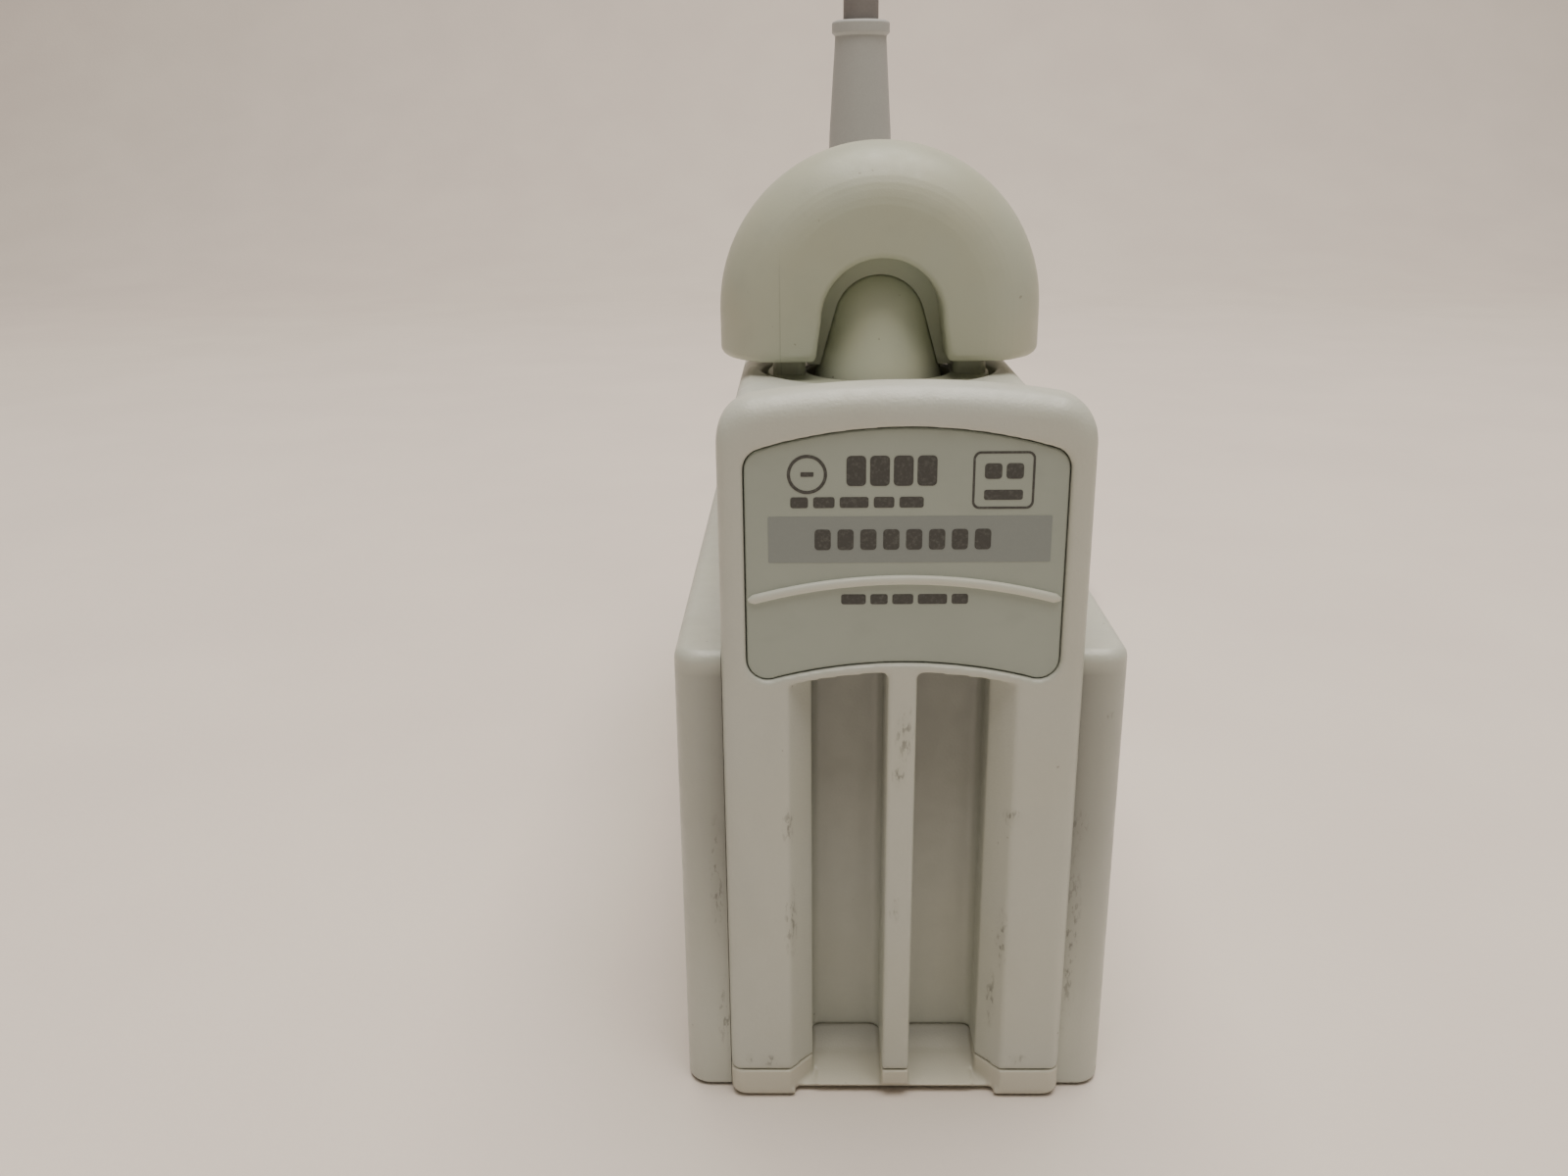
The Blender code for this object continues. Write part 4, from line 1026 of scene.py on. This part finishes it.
def hub_outline(grown=0.0):
    """The hub's radii and heights from its foot to the top of its dome."""
    side = [(9.9, HUB_FOOT), (9.85, 77.5), (9.7, 79.0), (9.4, 80.5), (8.97, 82.2), (8.5, 84.0)]
    dome = arc(0, HUB_TOP - HUB_DOME_R, HUB_DOME_R + grown, 14.1, 90, 24)
    dome[-1] = (0, HUB_TOP + grown)
    return [(r + grown, z) for r, z in side] + dome


def hub():
    """Domed, slightly conical centre boss, bored for the shaft."""
    bore = [(0, HUB_BORE_TOP), (HUB_BORE, HUB_BORE_TOP)]
    return as_mesh(turned([(HUB_BORE, HUB_FOOT), *hub_outline(), *bore], LATCH, 128))


def build_latch(look):
    show("turning_handle", handle(), look["handle"], "latch", "handle", ["latch_handle"], sharp=50)
    show("domed_hub", hub(), look["hub"], "latch", "handle", ["latch_hub"], sharp=50)


# ---- contacts


def pad_field(side):
    """Rows of small plated pads, as on the face of a multi-way connector."""
    bm = bmesh.new()
    pitch_x, pitch_y = PAD_PITCH
    rows = int(PAD_FIELD_LENGTH / pitch_y)
    for i in range(PAD_COLUMNS):
        for j in range(rows):
            x = side * (PAD_FIRST_X + pitch_x * i)
            y = (j - (rows - 1) / 2) * pitch_y
            prism(moved(rounded_box(*PAD_HALF, 0.25, 2), x, y), "Z", *PAD_HEIGHTS, bm)
    return as_mesh(bm)


def build_contacts(look):
    for name, side in (("left", -1), ("right", 1)):
        pads = pad_field(side)
        show(f"contact_pads_{name}", pads, look["gold"], "carrier", "gold", [f"contact_strip_{name}"])


# ---- cable


def build_cable_entry(look):
    """The tapered boot with its end collar, and the gland's flange on the deck."""
    x, y, top = CABLE_EXIT
    bore, foot_z, deck = CABLE_BORE, 92.3, DECK + 0.1
    sleeve = [(bore, foot_z), (6.5, foot_z, 0.5), (6.35, 98.0), (5.85, 115.0)]
    sleeve += [(4.85, top - 3.4), (4.85, top - 2.7, 0.3), (5.42, top - 2.2, 0.4)]
    sleeve += [(5.42, top - 0.3, 0.5), (4.7, top, 0.3), (bore, top)]
    boot = as_mesh(turned(rounded(sleeve, 5), (x, y), 96))
    show("cable_boot", boot, look["boot"], "housing", "boot", ["strain_relief_boot"])
    foot = [(bore, 72.0), (5.2, 72.0), (5.2, deck), (9.0, deck, 0.4), (9.0, 84.6, 0.8)]
    foot += [(7.4, 86.0, 1.0), (7.0, 92.0, 0.3), (bore, 92.0)]
    gland = as_mesh(turned(rounded(foot, 5), (x, y), 96))
    show("cable_gland_flange", gland, look["boot"], "housing", "boot", ["cable_gland"])


def tie():
    """A strap round the coil's turns, with its loose end overlapping on top."""
    cx, cy = COIL_CENTRE
    near = cy + COIL_RADII[0] - CABLE_D / 2 - 0.35
    far = cy + COIL_RADII[1] + CABLE_D / 2 + 0.1
    low, high = 0.95, 21.2
    width, thick, corner = 3.9, 0.75, 2.9

    def around(grown):
        half_y, half_z = (far - near) / 2 + grown, (high - low) / 2 + grown
        shape = rounded_box(half_y, half_z, corner + grown, 10)
        return moved(shape, (near + far) / 2, (low + high) / 2)

    edge = 0.2
    half = [(0.0, -width), (thick - edge, -width), (thick, edge - width)]
    sections = []
    for grown, x in half + [(grown, -x) for grown, x in reversed(half)]:
        sections.append([(cx + x, y, z) for y, z in around(grown)])
    bm = loft(sections, closed=True)
    under, over = high + thick - 0.1, high + thick + 0.35
    end = [(near + 1.0, under), (far - 2.0, under), (far - 2.0, over), (near + 1.0, over)]
    prism(end, "X", cx - width + 0.4, cx + width - 0.4, bm)
    return as_mesh(bm)


def build_cable(look, head_pieces):
    """One continuous cable from the boot through the coil to the scan head, and its tie."""
    points = smoothed([*LEAD_ROUTE, *coil_route(), *TAIL_ROUTE], 3.0)
    curve = bpy.data.curves.new("transducer_cable", "CURVE")
    curve.dimensions = "3D"
    curve.bevel_depth = CABLE_D / 2 * MM
    curve.bevel_resolution = 6
    curve.use_fill_caps = True
    spline = curve.splines.new("POLY")
    spline.points.add(len(points) - 1)
    for spot, point in zip(spline.points, points):
        spot.co = (*(point * MM), 1.0)
    curve.materials.append(look["cable"])
    cable = placed("transducer_cable", curve)
    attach(cable, "housing")
    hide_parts("cable_lead", "cable_tail", "cable_coil")
    strap = show("coil_strap", tie(), look["strap"], "housing", "strap", ["coil_tie"])


# ---- scan head


def head_half(side):
    """Upper or lower half of the scan head's shell. side is 1 for the upper one."""
    spine = smoothed(HEAD_SECTIONS, 1.2)
    first, last = spine[0], spine[-1]
    rows = [(first.x, first.y - 0.5, first.z - 0.5), (first.x + 0.15, first.y - 0.15, first.z - 0.15)]
    rows += [tuple(p) for p in spine[1:-1]]
    rows += [(last.x - 0.15, last.y - 0.15, last.z - 0.15), (last.x, last.y - 0.5, last.z - 0.5)]
    steps, fullness = 40, 0.8
    groove = 0.12  # half of the seam between the two shells
    sections = []
    for y, wide, high in rows:
        ring = []
        for i in range(steps + 1):
            angle = math.pi * i / steps
            x = math.copysign(abs(math.cos(angle)) ** fullness, math.cos(angle)) * wide
            z = abs(math.sin(angle)) ** fullness * (high - groove) + groove
            if i in (0, steps):
                x = math.copysign(wide - 0.35, x)
            ring.append((HEAD_X + x, y, HEAD_Z + side * z))
        sections.append(ring)
    return as_mesh(loft(sections))


def lens():
    """Rounded acoustic window at the front of the scan head."""
    y, wide, high = HEAD_SECTIONS[-1]
    sections = []
    for k in range(9):
        share = k / 8
        shrink = 0.9 + 3.3 * (1 - math.sqrt(1 - share**2 * 0.98))
        outline = rounded_box(wide - shrink, high - shrink, 3.0 - 0.6 * share, 8)
        sections.append([(HEAD_X + x, y + 0.05 + 3.95 * share ** 0.8, HEAD_Z + z) for x, z in outline])
    return as_mesh(loft(sections))


def head_boot():
    """Strain relief between the cable and the scan head."""
    profile = [(CABLE_BORE, 0.0), (4.4, 0.0, 0.5), (4.8, 2.0), (5.2, 6.0), (5.8, 10.0)]
    profile += [(6.0, HEAD_BOOT_LENGTH, 0.3), (CABLE_BORE, HEAD_BOOT_LENGTH)]
    bm = turned(rounded(profile, 5), steps=64)
    bmesh.ops.rotate(bm, matrix=Matrix.Rotation(-math.pi / 2, 3, "X"), verts=bm.verts)
    bmesh.ops.translate(bm, vec=(HEAD_X, HEAD_START, HEAD_Z), verts=bm.verts)
    return as_mesh(bm)


def build_head(look):
    """The two halves of the shell, the window and the boot."""
    pieces = (
        ("head_shell_upper", head_half(1), "head", "housing", "scan_head_shell_upper", 50),
        ("head_shell_lower", head_half(-1), "head", "housing", "scan_head_shell_lower", 50),
        ("head_window", lens(), "lens", "lens", "scan_head_lens", 50),
        ("head_boot", head_boot(), "boot", "boot", "scan_head_boot", 35),
    )
    made = []
    for name, mesh, finish, slot, node, sharp in pieces:
        made.append(show(name, mesh, look[finish], "housing", slot, [node], sharp))
    return made


# ---- carried-over nodes


def finish_frame_nodes(look):
    """Every CAD node that still shows gets its slot's material and slightly broken edges."""
    for part in frame["record"]["subparts"]:
        node = NODES[part["node"]]
        if node.hide_render:
            continue
        node.data.materials.clear()
        node.data.materials.append(look[part["material_slot"]])
        edge = node.modifiers.new("broken_edge", "BEVEL")
        edge.width = 0.15 * MM
        edge.segments = 2
        edge.limit_method = "ANGLE"
        edge.angle_limit = math.radians(40)


# ---- stage


def build_stage():
    """A pale sweep that rises far behind the object."""
    look = Look("pale_sweep", Specular_IOR_Level=0.2)
    look.colour(look.blend(look.levels(look.noise(60.0, 3.0), 0.35, 0.65), SWEEP, SWEEP_SHADE))
    look.roughness(look.noise(8.0, 3.0), (0.7, 0.85))
    look.bump(look.noise(2.5, 3.0), 0.12)
    bend = SWEEP_WALL - SWEEP_BEND
    profile = [(-SWEEP_REACH, 0.0), (bend, 0.0), *arc(bend, SWEEP_BEND, SWEEP_BEND, -90, 0, 16)]
    profile += [(SWEEP_WALL, SWEEP_HEIGHT)]
    bm = bmesh.new()
    left, right = (
        [bm.verts.new((x * MM, y * MM, z * MM)) for y, z in profile]
        for x in (-SWEEP_REACH, SWEEP_REACH)
    )
    for i in range(len(profile) - 1):
        bm.faces.new((left[i], right[i], right[i + 1], left[i + 1]))
    sweep = placed("sweep", as_mesh(bm))
    sweep.data.materials.append(look.done())
    sweep.data.shade_smooth()


def build_lights():
    """One broad ceiling panel, a little in front, and an even pale room."""
    data = bpy.data.lights.new("ceiling", "AREA")
    data.shape = "RECTANGLE"
    data.size, data.size_y = CEILING_SIZE
    data.energy = CEILING_POWER
    data.color = CEILING_COLOUR
    light = placed("ceiling", data)
    light.location = CEILING_PLACE
    down = Vector(CEILING_TARGET) - Vector(CEILING_PLACE)
    light.rotation_euler = down.to_track_quat("-Z", "Y").to_euler()
    world = bpy.data.worlds.new("room")
    world.use_nodes = True
    background = world.node_tree.nodes["Background"]
    background.inputs["Color"].default_value = ROOM_COLOUR
    background.inputs["Strength"].default_value = ROOM_STRENGTH
    bpy.context.scene.world = world


def build_camera():
    """Close in front of the narrow face, a little above it and looking down."""
    pitch, yaw, roll = (math.radians(a) for a in CAMERA_TURN)
    flat = math.cos(pitch)
    ahead = Vector((math.sin(yaw) * flat, math.cos(yaw) * flat, -math.sin(pitch)))
    level = Vector((math.cos(yaw), -math.sin(yaw), 0.0))
    above = level.cross(ahead)
    right = level * math.cos(roll) + above * math.sin(roll)
    up = above * math.cos(roll) - level * math.sin(roll)
    data = bpy.data.cameras.new("camera")
    data.sensor_width = 36.0
    data.lens = CAMERA_LENS
    data.clip_start = 0.01
    camera = placed("camera", data)
    camera.matrix_world = Matrix((right, up, -ahead)).transposed().to_4x4()
    camera.location = CAMERA_PLACE
    bpy.context.scene.camera = camera


def main():
    look = looks()
    build_camera()
    build_cable(look, build_head(look))
    build_cable_entry(look)
    build_housing(look)
    build_latch(look)
    build_contacts(look)
    finish_frame_nodes(look)
    build_stage()
    build_lights()


main()
